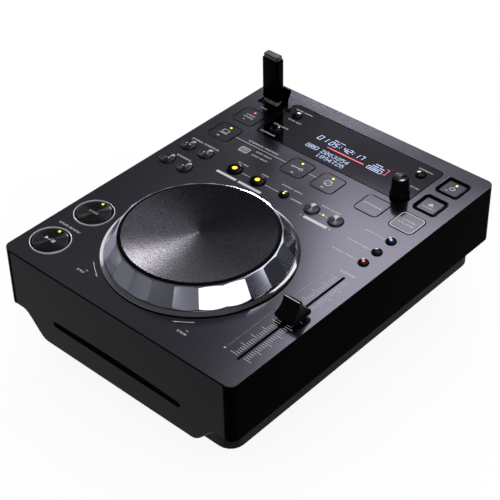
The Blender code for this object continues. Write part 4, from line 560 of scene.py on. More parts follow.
def big_button(name, place):
    """A wide button's turned cap and the thin silver trim round it; the trim's inner wall and land are
    painted near-black as painted shade in the gap round the cap.
    """
    bm = bmesh.new()
    looks = [1] * TRIM_LAND_BANDS + [0] * (len(TRIM_SECTION) - TRIM_LAND_BANDS)
    tube(bm, [circle(place, r, z, CAP_STEPS) for r, z in TRIM_SECTION], looks)
    piece(name + "_trim", bm, ("ring_silver", "gap_shade"), "housing", (name + "_ring",))
    bm = bmesh.new()
    lathe(bm, place, CAP_PROFILE, CAP_STEPS)
    button = name + "_button"
    piece(name + "_cap", bm, "button_big", button, (button,))


def round_button(name, x, y, radius, look):
    """A small round button with a rounded edge and a low crown."""
    top = node_top(name)
    edge = min(BUTTON_EDGE, top * BUTTON_EDGE_SHARE)
    profile = [(radius, BUTTON_FOOT), *edge_arc(radius, top, edge, BUTTON_EDGE_STEPS, BUTTON_EDGE_RISE)]
    crown = top - profile[-1][1]
    for share in CROWN_SHARES:
        profile.append(((radius - edge) * share, top - crown * share * share))
    bm = bmesh.new()
    lathe(bm, (x, y), profile, BUTTON_STEPS)
    piece(name + "_cap", bm, look, name, (name,))


# Printed marks. Each mark is a kind and its values, placed from the middle of what carries it
PRINT_LOW = -0.02
PRINT_HIGH = 0.035
LETTER_MARKS = ((1.0, 0.0), (0.55, 0.9), (1.0, 0.45), (0.6, 0.0), (0.85, 0.9), (1.0, 0.2), (0.5, 0.45))
LETTER_HEIGHT_SHARE = 0.86
LETTER_PITCH_SHARE = 0.82
LETTER_FOOT_SHARE = 0.6
LETTER_GAP = 0.3
STROKE_LEAST = 0.30
STROKE_SHARE = 0.2
WORD_SPACE = 1.1


def print_bar(bm, x, y, z, left, low, right, high):
    bar(bm, x + left, y + low, x + right, y + high, z + PRINT_LOW, z + PRINT_HIGH)


def print_outline(bm, x, y, z, *points):
    slab(bm, [(x + px, y + py) for px, py in points], z + PRINT_LOW, z + PRINT_HIGH)


def print_triangle(bm, x, y, z, across, size, way):
    """A triangle that points to the right, or with way -1 to the left."""
    half = size / 2
    points = ((across - way * half, -half), (across + way * half, 0), (across - way * half, half))
    print_outline(bm, x, y, z, *points[::way])


def print_words(bm, x, y, z, left, middle, lengths, height, gap=LETTER_GAP):
    """A line of plain print: small broken marks in groups, standing for a word each."""
    height *= LETTER_HEIGHT_SHARE
    stroke = max(STROKE_LEAST, height * STROKE_SHARE)
    low, high = middle - height / 2, middle + height / 2
    turn = 0
    for length in lengths:
        count = max(1, round(length / (height * LETTER_PITCH_SHARE)))
        step = length / count
        for k in range(count):
            tall, cross = LETTER_MARKS[turn % len(LETTER_MARKS)]
            turn += 1
            start = left + k * step
            end = start + step - gap
            across = low + (height - stroke) * cross
            print_bar(bm, x, y, z, start, low, start + stroke, low + height * tall)
            print_bar(bm, x, y, z, start + stroke, across, end, across + stroke)
            print_bar(bm, x, y, z, end - stroke, high - height * tall * LETTER_FOOT_SHARE, end, high)
        left += length + WORD_SPACE


def print_arc(bm, x, y, z, across, along, radius, half, start, end, steps=16):
    """A curved line about a middle, from one angle to another in degrees."""
    middle = (x + across, y + along)
    shares = [(start + (end - start) * k / steps) / 360 for k in range(steps + 1)]
    outer = [turned_point(middle, radius + half, share, z)[:2] for share in shares]
    inner = [turned_point(middle, radius - half, share, z)[:2] for share in shares]
    print_outline(bm, 0, 0, z, *outer, *inner[::-1])


def print_frame(bm, x, y, z, across, along, width, depth, corner, half):
    """A closed line of even width round a rounded rectangle."""
    rings = []
    for side, lift in ((half, PRINT_LOW), (half, PRINT_HIGH), (-half, PRINT_HIGH), (-half, PRINT_LOW)):
        size = (width + 2 * side, depth + 2 * side, corner + side)
        rings.append(rounded_ring(x + across, y + along, *size, z + lift))
    tube(bm, rings)


MARKS = {"bar": print_bar, "outline": print_outline, "triangle": print_triangle, "words": print_words,
         "arc": print_arc, "frame": print_frame}


def draw(bm, marks, x=0.0, y=0.0, z=0.0):
    for kind, *values in marks:
        MARKS[kind](bm, x, y, z, *values)


def sign(name, body, marks, x=0.0, y=0.0, z=0.0, look="print_grey"):
    """A piece of printed marks on a body."""
    bm = bmesh.new()
    draw(bm, marks, x, y, z)
    piece(name, bm, look, body, smooth=0)


# The panel's words, each with its left end, middle, word lengths and height
PANEL_WORDS = (
    (-99.8, -97.6, (8.5, 11.5), 2.0), (-51.0, -125.6, (7.0,), 2.0), (45.0, -125.6, (8.0,), 2.0),
    (-101.0, 41.2, (10.5, 15.5), 1.9), (-94.6, 17.6, (14.5,), 1.9), (-65.6, 67.0, (15.0, 13.6), 2.0),
    (-51.5, 59.4, (6.6, 7.6), 2.0), (-51.5, 54.4, (6.6, 7.6), 2.0), (-63.2, 53.8, (6.0,), 1.2),
    (-63.2, 55.3, (6.0,), 1.2), (-63.2, 56.8, (6.0,), 1.2), (-52.6, 40.7, (3.4, 5.2), 1.6),
    (-28.7, 40.6, (6.4,), 1.6), (-9.1, 40.8, (10.6, 8.0), 1.6), (7.2, 31.5, (10.4,), 1.9),
    (30.0, 40.1, (7.0, 8.6), 1.8), (71.1, 38.6, (7.8, 8.6), 1.6), (67.8, 22.6, (9.2, 10.0), 1.6),
    (66.0, 7.9, (10.4, 10.0), 1.6), (86.6, -8.2, (13.2,), 2.2), (-90.0, 107.9, (6.0,), 1.4),
)
# Each bar's left, low, right and high edges
PANEL_BARS = (
    (-45.6, -122.9, -43.4, -122.5), (49.8, -122.4, 51.8, -122.0), (-76.6, 63.35, -25.2, 63.75),
    (-3.0, 63.35, 4.9, 63.75), (-41.0, 31.35, -33.0, 31.75), (-18.2, 31.35, -4.8, 31.75),
    (34.0, 31.25, 42.3, 31.65), (-57.9, 20.7, -38.4, 23.1), (-36.2, 20.7, -13.8, 23.1),
    (28.0, 20.1, 49.2, 22.9), (24.2, 21.3, 25.8, 21.7), (50.9, 21.3, 52.5, 21.7), (51.5, 20.7, 51.9, 21.3),
    (51.5, 21.7, 51.9, 22.3), (78.7, -117.4, 80.7, -117.0), (79.5, -117.0, 79.9, -116.2),
    (79.5, -118.2, 79.9, -117.4), (79.2, -16.8, 81.0, -16.4),
)
DISC_MARK_FRAME = (-60.2, 55.3, 8.0, 5.8, 0.8, 0.28)
ARROW_RADIUS = 74.2
ARROW_HALF = 0.22
ARROWS = ((229.7, 240.5, 242.6, 1), (301.5, 310.6, 299.2, -1))
ARROW_TIP = 0.2
ARROW_LENGTH = 3.0
ARROW_WIDTH = 0.9
SCALE_FOOT = -117.2
SCALE_PITCH = 2.01
SCALE_TICKS = 51
SCALE_GROUP = 5
TICK_HALF = 0.15
LEFT_TICK = {"inner": 91.2, "short": 87.3, "long": 84.4}
RIGHT_TICK = {"inner": 95.8, "short": 99.6, "long": 102.2}
DOTTED_X = 80.0
DOTTED_FOOT = -113.7
DOTTED_PITCH = 1.5
DOTTED_COUNT = 63
DOTTED_HALF = 0.2


def turn_arrow(bm, start, end, angle, way):
    """A printed arrow that follows the jog wheel's turn: its curved shaft and its half head."""
    print_arc(bm, *JOG, 0, 0, 0, ARROW_RADIUS, ARROW_HALF, start, end)
    a = math.radians(angle)
    out = Vector((math.cos(a), math.sin(a)))
    along = Vector((-out.y, out.x)) * way
    tip = out * ARROW_RADIUS
    tail = tip - along * ARROW_LENGTH
    points = (tip + along * ARROW_TIP, tail + out * ARROW_WIDTH, tail - out * ARROW_TIP)
    print_outline(bm, *JOG, 0, *points[::way])


def tempo_scale(bm):
    """The printed scale on both sides of the slider's slot, and the dotted line beside it."""
    for k in range(SCALE_TICKS):
        y = SCALE_FOOT + SCALE_PITCH * k
        size = "long" if k % SCALE_GROUP == 0 else "short"
        print_bar(bm, 0, y, 0, LEFT_TICK[size], -TICK_HALF, LEFT_TICK["inner"], TICK_HALF)
        print_bar(bm, 0, y, 0, RIGHT_TICK["inner"], -TICK_HALF, RIGHT_TICK[size], TICK_HALF)
    for k in range(DOTTED_COUNT):
        y = DOTTED_FOOT + DOTTED_PITCH * k
        print_bar(bm, DOTTED_X, y, 0, -TICK_HALF, -DOTTED_HALF, TICK_HALF, DOTTED_HALF)


def panel_print():
    bm = bmesh.new()
    for row in PANEL_WORDS:
        print_words(bm, 0, 0, 0, *row)
    for row in PANEL_BARS:
        print_bar(bm, 0, 0, 0, *row)
    print_frame(bm, 0, 0, 0, *DISC_MARK_FRAME)
    for arrow in ARROWS:
        turn_arrow(bm, *arrow)
    tempo_scale(bm)
    piece("panel_print", bm, "print_grey", "housing", smooth=0)


# Keys, their signs, the painted shade in their seams, and the lamps
KEYS = {
    "computer_source_key": (-87.9, 63.5), "stick_source_key": (-13.9, 63.5), "disc_source_key": (15.7, 63.5),
    "playlist_key": (57.6, 63.5), "beat_lock_key": (88.9, 63.5), "stick_stop_key": (-87.9, 91.7),
    "eject_key": (88.9, 91.2), "standby_key": (88.9, 118.7),
}
SUNK_KEYS = {"eject_bezel": "eject_key", "standby_bezel": "standby_key"}
# Frames of painted shade in the seams round the flush keys and round the window
KEY_OUTLINE = (21.3, 21.3, 4.3, 0.36)
WINDOW_OUTLINE = ("frame", 1.0, 105.0, 145.0, 50.0, 4.1, 0.40)
KEY_SIGNS = {
    "computer_source_key": (("frame", 0.0, 0.9, 5.6, 3.6, 0.3, 0.22),
                            ("outline", (-4.4, -2.6), (4.4, -2.6), (3.4, -2.1), (-3.4, -2.1)),
                            ("bar", -2.7, -7.1, -0.1, -6.3)),
    "stick_source_key": (("bar", -4.5, -0.3, 2.0, 0.3), ("frame", 3.4, 0.0, 2.6, 2.2, 0.3, 0.22),
                         ("bar", -5.6, -1.0, -4.0, -0.3), ("bar", -1.1, -7.2, 1.5, -6.4)),
    "disc_source_key": (("arc", 0.0, 0.2, 3.0, 0.3, 5, 185), ("arc", 0.0, 0.2, 3.0, 0.3, 190, 360),
                        ("outline", (-2.4, -1.6), (-1.6, -2.2), (0.2, 0.2)),
                        ("outline", (2.4, 2.0), (1.6, 2.6), (-0.2, 0.2)), ("bar", -1.8, -7.0, 0.8, -6.2)),
    "playlist_key": (("words", -7.6, 0.0, (16.0,), 2.1),),
    "beat_lock_key": (("words", -5.0, 2.0, (11.0,), 2.3), ("words", -6.6, -1.9, (14.0,), 2.3),
                      ("frame", 0.0, 0.0, 19.3, 19.3, 3.4, 0.34)),
    "stick_stop_key": (("words", -4.0, 1.8, (8.2,), 1.8), ("words", -4.4, -1.4, (9.6,), 1.8),
                       ("bar", -2.4, -5.4, -0.2, -4.9)),
    "eject_key": (("outline", (-2.2, 0.4), (2.2, 0.4), (0.0, 3.0)), ("bar", -2.2, -0.7, 2.2, -0.1),
                  ("words", -4.6, -3.2, (10.0,), 1.4)),
    "standby_key": (("arc", 0.0, -0.6, 2.0, 0.25, 125, 415, 24), ("bar", -0.25, -0.4, 0.25, 2.2),
                    ("bar", -3.6, -4.6, -1.6, -4.2)),
}

LAMP_SINK = 0.3
LAMP_STEPS = 28
LAMP_DOME_SHARES = ((1.0, 0.0), (0.8, 0.7), (0.4, 1.0), (0.05, 1.0))
LAMP_RISE = 0.25
WIDE_LAMP_RISE = 0.12
WIDE_LAMP_SINK = 0.1
KEY_LAMPS = (
    ("computer_lamp", "computer_source_key", -87.5, 70.1, 0.95, "lamp_green"),
    ("stick_lamp", "stick_source_key", -14.2, 70.1, 0.95, "lamp_green"),
    ("disc_lamp", "disc_source_key", 15.3, 70.2, 0.95, "lamp_green"),
    ("stop_lamp", "stick_stop_key", -87.4, 97.9, 0.95, "lamp_red"),
    ("standby_lamp", "standby_key", 89.3, 123.2, 0.9, "lamp_green"),
)
BUTTON_LAMPS = (
    ("loop_in_lamp", "loop_in_button", 2.3, "lamp_yellow"),
    ("loop_out_lamp", "loop_out_button", 2.3, "lamp_yellow"),
    ("reloop_lamp", "reloop_button", 1.1, "lamp_yellow"),
    ("vinyl_lamp", "vinyl_button", 1.1, "lamp_blue"),
    ("master_lamp", "master_tempo_button", 1.1, "lamp_red"),
)

PLAY_SIGN = (("triangle", -3.4, 3.0, 1), ("outline", (-1.2, -1.4), (-0.8, -1.4), (0.4, 1.4), (0.0, 1.4)),
             ("bar", 1.6, -1.4, 2.5, 1.4), ("bar", 3.3, -1.4, 4.2, 1.4))
CUE_SIGN = (("words", -4.3, 0.0, (8.8,), 2.2, 0.9),)
SKIP_SIGNS = (("track_back_button", -1, True), ("track_forward_button", 1, True),
              ("search_back_button", -1, False), ("search_forward_button", 1, False))
SKIP_SIZE = 1.8
SKIP_STEP = 1.0
SKIP_END = 2.2
SKIP_END_HALF = (0.2, 0.9)
SKIP_SINK = 0.05


def key_prints():
    """The keys' signs, and thin black lines of painted shade in the seams round the keys that lie flush and
    round the window.
    """
    for name, place in KEYS.items():
        sign(name + "_sign", name, KEY_SIGNS[name], *place, node_top(name))
    flush = [place for name, place in KEYS.items() if name not in SUNK_KEYS.values()]
    outlines = [("frame", *place, *KEY_OUTLINE) for place in flush]
    sign("panel_seam_shade", "housing", [*outlines, WINDOW_OUTLINE], look="seam_shade")


def lamp(name, body, x, y, z, radius, look, rise=LAMP_RISE):
    """A small domed lamp."""
    dome = [(radius * out, z + rise * up) for out, up in LAMP_DOME_SHARES]
    bm = bmesh.new()
    lathe(bm, (x, y), [(radius, z - LAMP_SINK), *dome], LAMP_STEPS)
    piece(name, bm, look, body)


def lamps():
    for name, key, x, y, radius, look in KEY_LAMPS:
        lamp(name, key, x, y, node_top(key), radius, look)
    lamp("play_lamp", "play_button", -90.3, -106.5, CAP_SIGN_HEIGHT, 1.0, "lamp_green")
    lamp("cue_lamp", "cue_button", -90.4, -64.2, CAP_SIGN_HEIGHT, 1.0, "lamp_amber")
    lamp("beat_lamp", "housing", 37.8, 31.6, 0.0, 0.8, "lamp_amber")
    for name, button, radius, look in BUTTON_LAMPS:
        z = node_top(button) - WIDE_LAMP_SINK
        lamp(name, button, *ROUND[button][:2], z, radius, look, WIDE_LAMP_RISE)


def button_signs():
    """Plain transport signs on the round buttons."""
    sign("play_sign", "play_button", PLAY_SIGN, *PLAY, CAP_SIGN_HEIGHT)
    sign("cue_sign", "cue_button", CUE_SIGN, *CUE, CAP_SIGN_HEIGHT)
    half, tall = SKIP_END_HALF
    for name, way, stopped in SKIP_SIGNS:
        marks = [("triangle", -SKIP_STEP, SKIP_SIZE, way), ("triangle", SKIP_STEP, SKIP_SIZE, way)]
        if stopped:
            marks.append(("bar", way * SKIP_END - half, -tall, way * SKIP_END + half, tall))
        sign(name + "_sign", name, marks, *ROUND[name][:2], node_top(name) - SKIP_SINK)


# Display
SEGMENTS = {"0": "abcdef", "1": "bc", "2": "abged", "4": "fgbc", "5": "afgcd", "7": "abc"}
DOTS = {"0": "01110 10001 10011 10101 11001 10001 01110", "1": "00100 01100 00100 00100 00100 00100 01110",
        "2": "01110 10001 00001 00110 01000 10000 11111", "3": "01110 10001 00001 00110 00001 10001 01110",
        "4": "00010 00110 01010 10010 11111 00010 00010", "5": "11111 10000 11110 00001 00001 10001 01110",
        "6": "01110 10000 11110 10001 10001 10001 01110", "7": "11111 00001 00010 00100 00100 00100 00100",
        "8": "01110 10001 10001 01110 10001 10001 01110", "9": "01110 10001 10001 01111 00001 00001 01110"}
DIGIT_LEAN = 0.16
DIGIT_STROKE = 0.42
SEGMENT_END_SHARE = 0.3
# Each row: its figures, where each starts, its foot, and a figure's width and height
DIGIT_ROWS = (("01", (-28.7, -23.9), 103.4, 3.2, 5.4),
              ("054217", (-16.8, -12.4, -3.6, 0.8, 8.2, 12.6), 102.8, 2.7, 5.0))
DOT_PITCH = 0.64
DOT_SHARE = 0.66
DOT_COLUMNS = 6
DOT_LAST_ROW = 6
DOT_LINES = (("2063854", -14.8, 90.4), ("1094726", -14.8, 84.5))
DISPLAY_MARKS = (
    ("bar", -7.2, 104.0, -6.5, 104.7), ("bar", -6.8, 106.4, -6.1, 107.1),
    ("bar", 5.4, 104.0, 6.1, 104.7), ("bar", 5.8, 106.4, 6.5, 107.1),
    ("words", -15.6, 110.2, (4.6, 4.6), 1.0),
    ("frame", -23.9, 92.5, 10.8, 3.8, 0.3, 0.15), ("words", -27.6, 92.5, (7.4,), 1.5),
    ("frame", 30.6, 99.6, 13.0, 3.8, 0.3, 0.18), ("words", 25.8, 99.6, (9.6,), 1.5),
    ("words", 26.4, 103.6, (5.4, 4.6), 1.3), ("words", 27.6, 106.2, (6.4,), 1.1),
)
DISPLAY_RED_MARKS = (
    ("bar", -12.6, 98.7, 20.6, 99.9), ("outline", (-14.8, 99.3), (-13.3, 98.5), (-13.3, 100.1)),
    ("bar", 40.4, 98.4, 41.0, 106.0), ("bar", 38.2, 105.4, 40.4, 106.0), ("bar", 38.2, 98.4, 40.4, 99.0),
)
WINDOW_MARKS = (
    ("words", -66.3, 124.1, (7.0, 8.0), 1.5), ("words", -62.7, 109.7, (6.4, 5.6), 1.5),
    ("words", -67.2, 97.8, (6.4, 7.0), 1.5), ("words", -68.7, 84.0, (14.0,), 1.5),
    ("words", 54.8, 123.3, (12.8,), 1.6), ("words", 63.6, 100.9, (7.8,), 1.5),
)


def digit(bm, mark, x, y, width, height):
    """A leaning seven-segment figure with its low left corner at x, y."""
    half = height / 2
    spans = {"a": (0, height, width, height), "g": (0, half, width, half), "d": (0, 0, width, 0),
             "f": (0, half, 0, height), "b": (width, half, width, height), "e": (0, 0, 0, half),
             "c": (width, 0, width, half)}
    side, end = DIGIT_STROKE / 2, DIGIT_STROKE * SEGMENT_END_SHARE
    for key in SEGMENTS[mark]:
        left, low, right, high = spans[key]
        out, up = (-end, side) if low == high else (side, -end)
        left, right, low, high = left - out, right + out, low - up, high + up
        corners = ((left, low), (right, low), (right, high), (left, high))
        print_outline(bm, x, y, 0, *((px + DIGIT_LEAN * py, py) for px, py in corners))


def dot_line(bm, text, x, y):
    """A line of figures made of square dots, its low left corner at x, y."""
    side = DOT_PITCH * DOT_SHARE
    for turn, mark in enumerate(text):
        for row, bits in enumerate(DOTS[mark].split()):
            for column, bit in enumerate(bits):
                if bit == "1":
                    left = (turn * DOT_COLUMNS + column) * DOT_PITCH
                    low = (DOT_LAST_ROW - row) * DOT_PITCH
                    print_bar(bm, x, y, 0, left, low, left + side, low + side)


def display():
    bm = bmesh.new()
    for figures, starts, foot, width, height in DIGIT_ROWS:
        for mark, start in zip(figures, starts):
            digit(bm, mark, start, foot, width, height)
    for text, x, y in DOT_LINES:
        dot_line(bm, text, x, y)
    draw(bm, DISPLAY_MARKS)
    piece("display_characters", bm, "segment_blue", "housing", smooth=0)
    sign("display_red_marks", "housing", DISPLAY_RED_MARKS, look="segment_red")
    sign("window_print", "housing", WINDOW_MARKS)


# Panel edge, bezels, knobs and memory stick
PANEL_EDGE = ("frame", 0.0, 0.0, 216.3, 284.8, 5.1, 1.05)
BEZEL_SECTION = ((10.2, -2.5), (10.2, 0.3), (10.12, 0.75), (9.9, 1.08), (9.6, 1.2), (9.3, 1.17), (9.02, 0.9),
                 (8.86, 0.4), (8.8, -0.4), (8.8, -2.5))
BEZEL_CORNER_INSET = 7.0
BEZEL_STEPS = 10

# The selector knob: profile points are radius, height and how deep the ribs are cut there
KNOB = (64.4, 86.5)
KNOB_RIBS = 26
RIB_STEPS = 6
RIB_DEPTH = 0.28
KNOB_PROFILE = ((5.4, 1.25, 0), (6.6, 1.2, 0), (7.5, 1.35, 0), (7.7, 1.7, 0), (7.7, 2.7, 0), (7.5, 3.1, 0),
                (6.95, 3.35, 0), (6.75, 3.5, 1), (6.6, 6.0, 1), (6.35, 11.0, 1), (6.15, 14.8, 1),
                (6.0, 15.5, 0.5), (5.7, 16.0, 0), (5.2, 16.25, 0), (4.8, 16.2, 0), (4.4, 16.05, 0),
                (2.0, 16.0, 0), (0.4, 16.0, 0))
KNOB_TOP_BANDS = 4
KNOB_SHARP = 40
POINTER = ((-0.35, -4.6), (0.35, -4.6), (1.5, 4.2), (-1.5, 4.2))
POINTER_LOW = 15.9
POINTER_HIGH = 16.6

# The slider's knob: sections are width, depth, corner radius and height
TEMPO = (93.5, -66.49)
TEMPO_SKIRT = ((12.0, 13.4, 1.6, 0.62), (12.4, 13.8, 1.7, 0.9), (12.4, 13.8, 1.7, 2.4),
               (16.6, 17.6, 2.0, 2.55), (17.6, 18.6, 2.2, 2.8), (18.0, 19.0, 2.3, 3.3),
               (18.0, 19.0, 2.3, 4.6), (17.6, 18.5, 2.1, 5.1))
TEMPO_WAIST = (14.5, 3.3, 0.7, 5.3)
TEMPO_FLARE = (2.6, 14.4, 1.1)
TEMPO_FLARE_POWER = 2.3
TEMPO_FLARE_STEPS = 10
TEMPO_RISE = 10.4
TEMPO_TOP = ((14.2, 3.0, 0.7, 15.98), (13.8, 2.6, 0.6, 16.12))
TEMPO_CORNER_STEPS = 5
TEMPO_LINE = (-6.6, -0.95, 6.6, -0.4)
TEMPO_LINE_LOW = 16.0
TEMPO_LINE_HIGH = 16.16

# The memory stick: sections as for the slider's knob
STICK = (-87.5, 119.5)
STICK_RINGS = ((14.8, 6.6, 1.6, 3.6), (15.8, 7.6, 1.8, 3.9), (16.2, 8.1, 1.9, 4.4), (16.4, 8.2, 1.9, 5.2),
               (16.4, 8.2, 1.9, 40.0), (16.2, 8.0, 1.8, 40.8), (15.6, 7.4, 1.6, 41.1))
STICK_CAP = ((14.6, 6.4, 1.5, 40.9), (14.6, 6.4, 1.5, 43.8), (14.3, 6.1, 1.4, 44.3), (13.8, 5.6, 1.2, 44.55))
STICK_CORNER_STEPS = 6
PLUG_SIZE = (12.0, 4.5, 0.5)
PLUG_LOW = -8.6
PLUG_HIGH = 3.8
PLUG_EDGE = 0.2
PLUG_STEPS = 3
COLLAR_SIZE = (2.6, 6.2, 0.4)
COLLAR_PITCH = 5.4
COLLAR_SHIFT = -0.3
COLLAR_LOW = 1.4
CASE_SHARP = 35


def bezel(name, key):
    """A glossy frame with a rounded section round a sunk key."""
    x, y = KEYS[key]
    rings = []
    for half, z in BEZEL_SECTION:
        rings.append(rounded_ring(x, y, 2 * half, 2 * half, half - BEZEL_CORNER_INSET, z, BEZEL_STEPS))
    bm = bmesh.new()
    tube(bm, rings)
    piece(name + "_frame", bm, "bezel_gloss", "housing", (name,))


def selector_knob():
    """The ribbed selector knob with its low skirt, sunk top and raised pointer."""
    columns = KNOB_RIBS * RIB_STEPS
    rings = []
    for radius, z, ribbed in KNOB_PROFILE:
        ring = []
        for k in range(columns):
            cut = RIB_DEPTH * ribbed * (0.5 - 0.5 * math.cos(2 * math.pi * k / RIB_STEPS))
            ring.append(turned_point(KNOB, radius - cut, k / columns, z))
        rings.append(ring)
    bm = bmesh.new()
    ring_loft(bm, rings, [0] * (len(rings) - 1 - KNOB_TOP_BANDS) + [1] * KNOB_TOP_BANDS)
    looks = ("knob_black", "knob_top")
    piece("selector_knob_cap", bm, looks, "selector_knob", ("rotary_knob",), smooth=KNOB_SHARP)
    bm = bmesh.new()
    slab(bm, [(KNOB[0] + px, KNOB[1] + py) for px, py in POINTER], POINTER_LOW, POINTER_HIGH)
    piece("selector_pointer", bm, "knob_top", "selector_knob", smooth=0)


def section_rings(place, sections, steps):
    return [rounded_ring(*place, width, depth, corner, z, steps) for width, depth, corner, z in sections]


def tempo_knob():
    """The slider's knob: a narrow flat ridge whose four sides sweep out to a wider skirt."""
    width, depth, corner, z = TEMPO_WAIST
    more_width, more_depth, more_corner = TEMPO_FLARE
    sweep = []
    for step in range(TEMPO_FLARE_STEPS + 1):
        up = step / TEMPO_FLARE_STEPS
        flare = (1 - up) ** TEMPO_FLARE_POWER
        sweep.append((width + more_width * flare, depth + more_depth * flare, corner + more_corner * flare,
                      z + TEMPO_RISE * up))
    bm = bmesh.new()
    ring_loft(bm, section_rings(TEMPO, [*TEMPO_SKIRT, *sweep, *TEMPO_TOP], TEMPO_CORNER_STEPS))
    piece("tempo_knob_cap", bm, "knob_black", "tempo_slider", ("tempo_knob",), smooth=CASE_SHARP)
    x, y = TEMPO
    left, low, right, high = TEMPO_LINE
    bm = bmesh.new()
    bar(bm, x + left, y + low, x + right, y + high, TEMPO_LINE_LOW, TEMPO_LINE_HIGH)
    piece("tempo_knob_line", bm, "print_grey", "tempo_slider", smooth=0)


def rounded_block(bm, place, size, low, high):
    """A slab with rounded corners and a softened top edge. Its size is width, depth and corner radius."""
    width, depth, corner = size
    sections = [(width, depth, corner, low)]
    for reach, z in edge_arc(0, high, PLUG_EDGE, PLUG_STEPS):
        sections.append((width + 2 * reach, depth + 2 * reach, corner + reach, z))
    ring_loft(bm, section_rings(place, sections, PLUG_STEPS))


def memory_stick():
    """The stick in its port: case, stepped cap, and the bright shell of its plug just in sight."""
    shells = (("stick_case", "stick_black", STICK_RINGS), ("stick_cap_end", "stick_cap", STICK_CAP))
    for name, look, sections in shells:
        bm = bmesh.new()
        ring_loft(bm, section_rings(STICK, sections, STICK_CORNER_STEPS))
        piece(name, bm, look, "memory_stick", ("usb_stick",), smooth=CASE_SHARP)
    bm = bmesh.new()
    rounded_block(bm, STICK, PLUG_SIZE, PLUG_LOW, PLUG_HIGH)
    for side in (-1, 0, 1):
        place = (STICK[0] + side * COLLAR_PITCH, STICK[1] + COLLAR_SHIFT)
        rounded_block(bm, place, COLLAR_SIZE, COLLAR_LOW, PLUG_HIGH)
    piece("stick_plug_shell", bm, "plug_metal", "memory_stick", ("usb_stick",), smooth=CASE_SHARP)


jog_ring()
jog_plate()
big_button("play", PLAY)
big_button("cue", CUE)
for name, (x, y, radius, look) in ROUND.items():
    round_button(name, x, y, radius, look)
panel_print()
key_prints()
lamps()
button_signs()
display()
sign("panel_edge_strip", "housing", (PANEL_EDGE,), look="satin_panel")
for name, key in SUNK_KEYS.items():
    bezel(name, key)
selector_knob()
tempo_knob()
memory_stick()


# Camera, solved from the photograph's edges of the panel. Its offset is in millimetres along its own axes
CAMERA_AZIMUTH = math.radians(42.649)
CAMERA_ELEVATION = math.radians(38.06)
CAMERA_ROLL = math.radians(-1.029)
CAMERA_OFFSET = (1.375, 13.024, -1048.065)
CAMERA_LENS = 104.953
CAMERA_SENSOR = 36.0
CAMERA_SHIFT = (-0.00555, -0.0351)
CAMERA_CLIP = (0.05, 50.0)


def camera():
    back = Vector((math.sin(CAMERA_AZIMUTH) * math.cos(CAMERA_ELEVATION),
                   -math.cos(CAMERA_AZIMUTH) * math.cos(CAMERA_ELEVATION), math.sin(CAMERA_ELEVATION)))
    level = Vector((0, 0, 1)).cross(back).normalized()
    upright = back.cross(level)
    right = level * math.cos(CAMERA_ROLL) + upright * math.sin(CAMERA_ROLL)
    up = upright * math.cos(CAMERA_ROLL) - level * math.sin(CAMERA_ROLL)
    place = -(right * CAMERA_OFFSET[0] + up * CAMERA_OFFSET[1] + back * CAMERA_OFFSET[2])
    made = new_object("camera", bpy.data.cameras.new("camera"))
    made.matrix_world = Matrix.Translation(TO_WORLD @ place) @ Matrix((right, up, back)).transposed().to_4x4()
    made.data.lens = CAMERA_LENS
    made.data.sensor_width = CAMERA_SENSOR
    made.data.shift_x, made.data.shift_y = CAMERA_SHIFT
    made.data.clip_start, made.data.clip_end = CAMERA_CLIP
    bpy.context.scene.camera = made


# Floor, world and lamps. Angles are in degrees: compass angles from +X, height angles from level
FLOOR_RADIUS = 6.0
FLOOR_STEPS = 96
FLOOR_GRAIN = 40.0
FLOOR_DARK = (0.88, 0.88, 0.88)
FLOOR_LIGHT = (0.92, 0.92, 0.92)
FLOOR_ROUGH = 0.9
FLOOR_GLOW_SHARE = 0.90
FLOOR_FAR_SHARE = 0.12
FLOOR_FAR = (0.35, 1.1)
FLOOR_RIGHT_AZIMUTH = 10
FLOOR_RIGHT_SHARE = 0.15
FLOOR_RIGHT = (0.2, 0.5)
SOFT_COLOUR = (0.95, 0.97, 1.0)
SOFT_STRENGTH = 1.0
ROOM_AZIMUTH = 50
ROOM_LEFT = 0.20
ROOM_RIGHT = 0.035
ROOM_TURN = (0.2, 0.6)
UPWARD = (0, 0, 1)
BACKDROP_AZIMUTH = 133
BACKDROP_TURN = (0.80, 0.93)
BACKDROP_TOP = (0.08, 0.24)
LEFT_CARD = (163, 16)
LEFT_CARD_TURN = (0.945, 0.975)
# Name, compass angle, height angle, distance, width, depth and power
SOFTBOXES = (("back_softbox", 107.5, 48.7, 1.8, 1.02, 0.73, 3.1),
             ("low_softbox", 125.0, 20.5, 1.7, 0.20, 0.26, 6.0),
             ("right_softbox", -22, 20, 1.0, 1.4, 0.3, 2.4))


def bearing(azimuth, elevation=0.0):
    """A direction at that compass angle and that height angle."""
    a, e = math.radians(azimuth), math.radians(elevation)
    return Vector((math.cos(a) * math.cos(e), math.sin(a) * math.cos(e), math.sin(e)))


# Where gloss sees the room darker: an aim, the share left there, and where the fall starts and ends
ROOM_FALLS = ((UPWARD, 0.35, (0.50, 0.72)), (bearing(150), 0.5, (0.772, 0.79)),
              (bearing(-97), 0.4, (0.90, 0.935)), (bearing(-54), 0.4, (0.90, 0.935)))


def seen_rays(tree):
    """One for the rays that show the background: the camera's, and those off gloss or through glass."""
    rays = node(tree, "ShaderNodeLightPath").outputs
    straight = combined(tree, rays["Is Camera Ray"], rays["Is Glossy Ray"], "MAXIMUM")
    return combined(tree, straight, rays["Is Transmission Ray"], "MAXIMUM")


def toward(tree, direction, aim, low, high, turn):
    """A level that goes from low to high as a direction turns towards an aim."""
    lean = vector_step(tree, direction, "DOT_PRODUCT", aim)["Value"]
    return mapped(tree, lean, low, high, *turn)


def shader_mix(tree, factor, first, second, output):
    mix = node(tree, "ShaderNodeMixShader")
    tree.links.new(factor, mix.inputs[0])
    tree.links.new(first.outputs[0], mix.inputs[1])
    tree.links.new(second.outputs[0], mix.inputs[2])
    tree.links.new(mix.outputs[0], tree.nodes[output].inputs["Surface"])


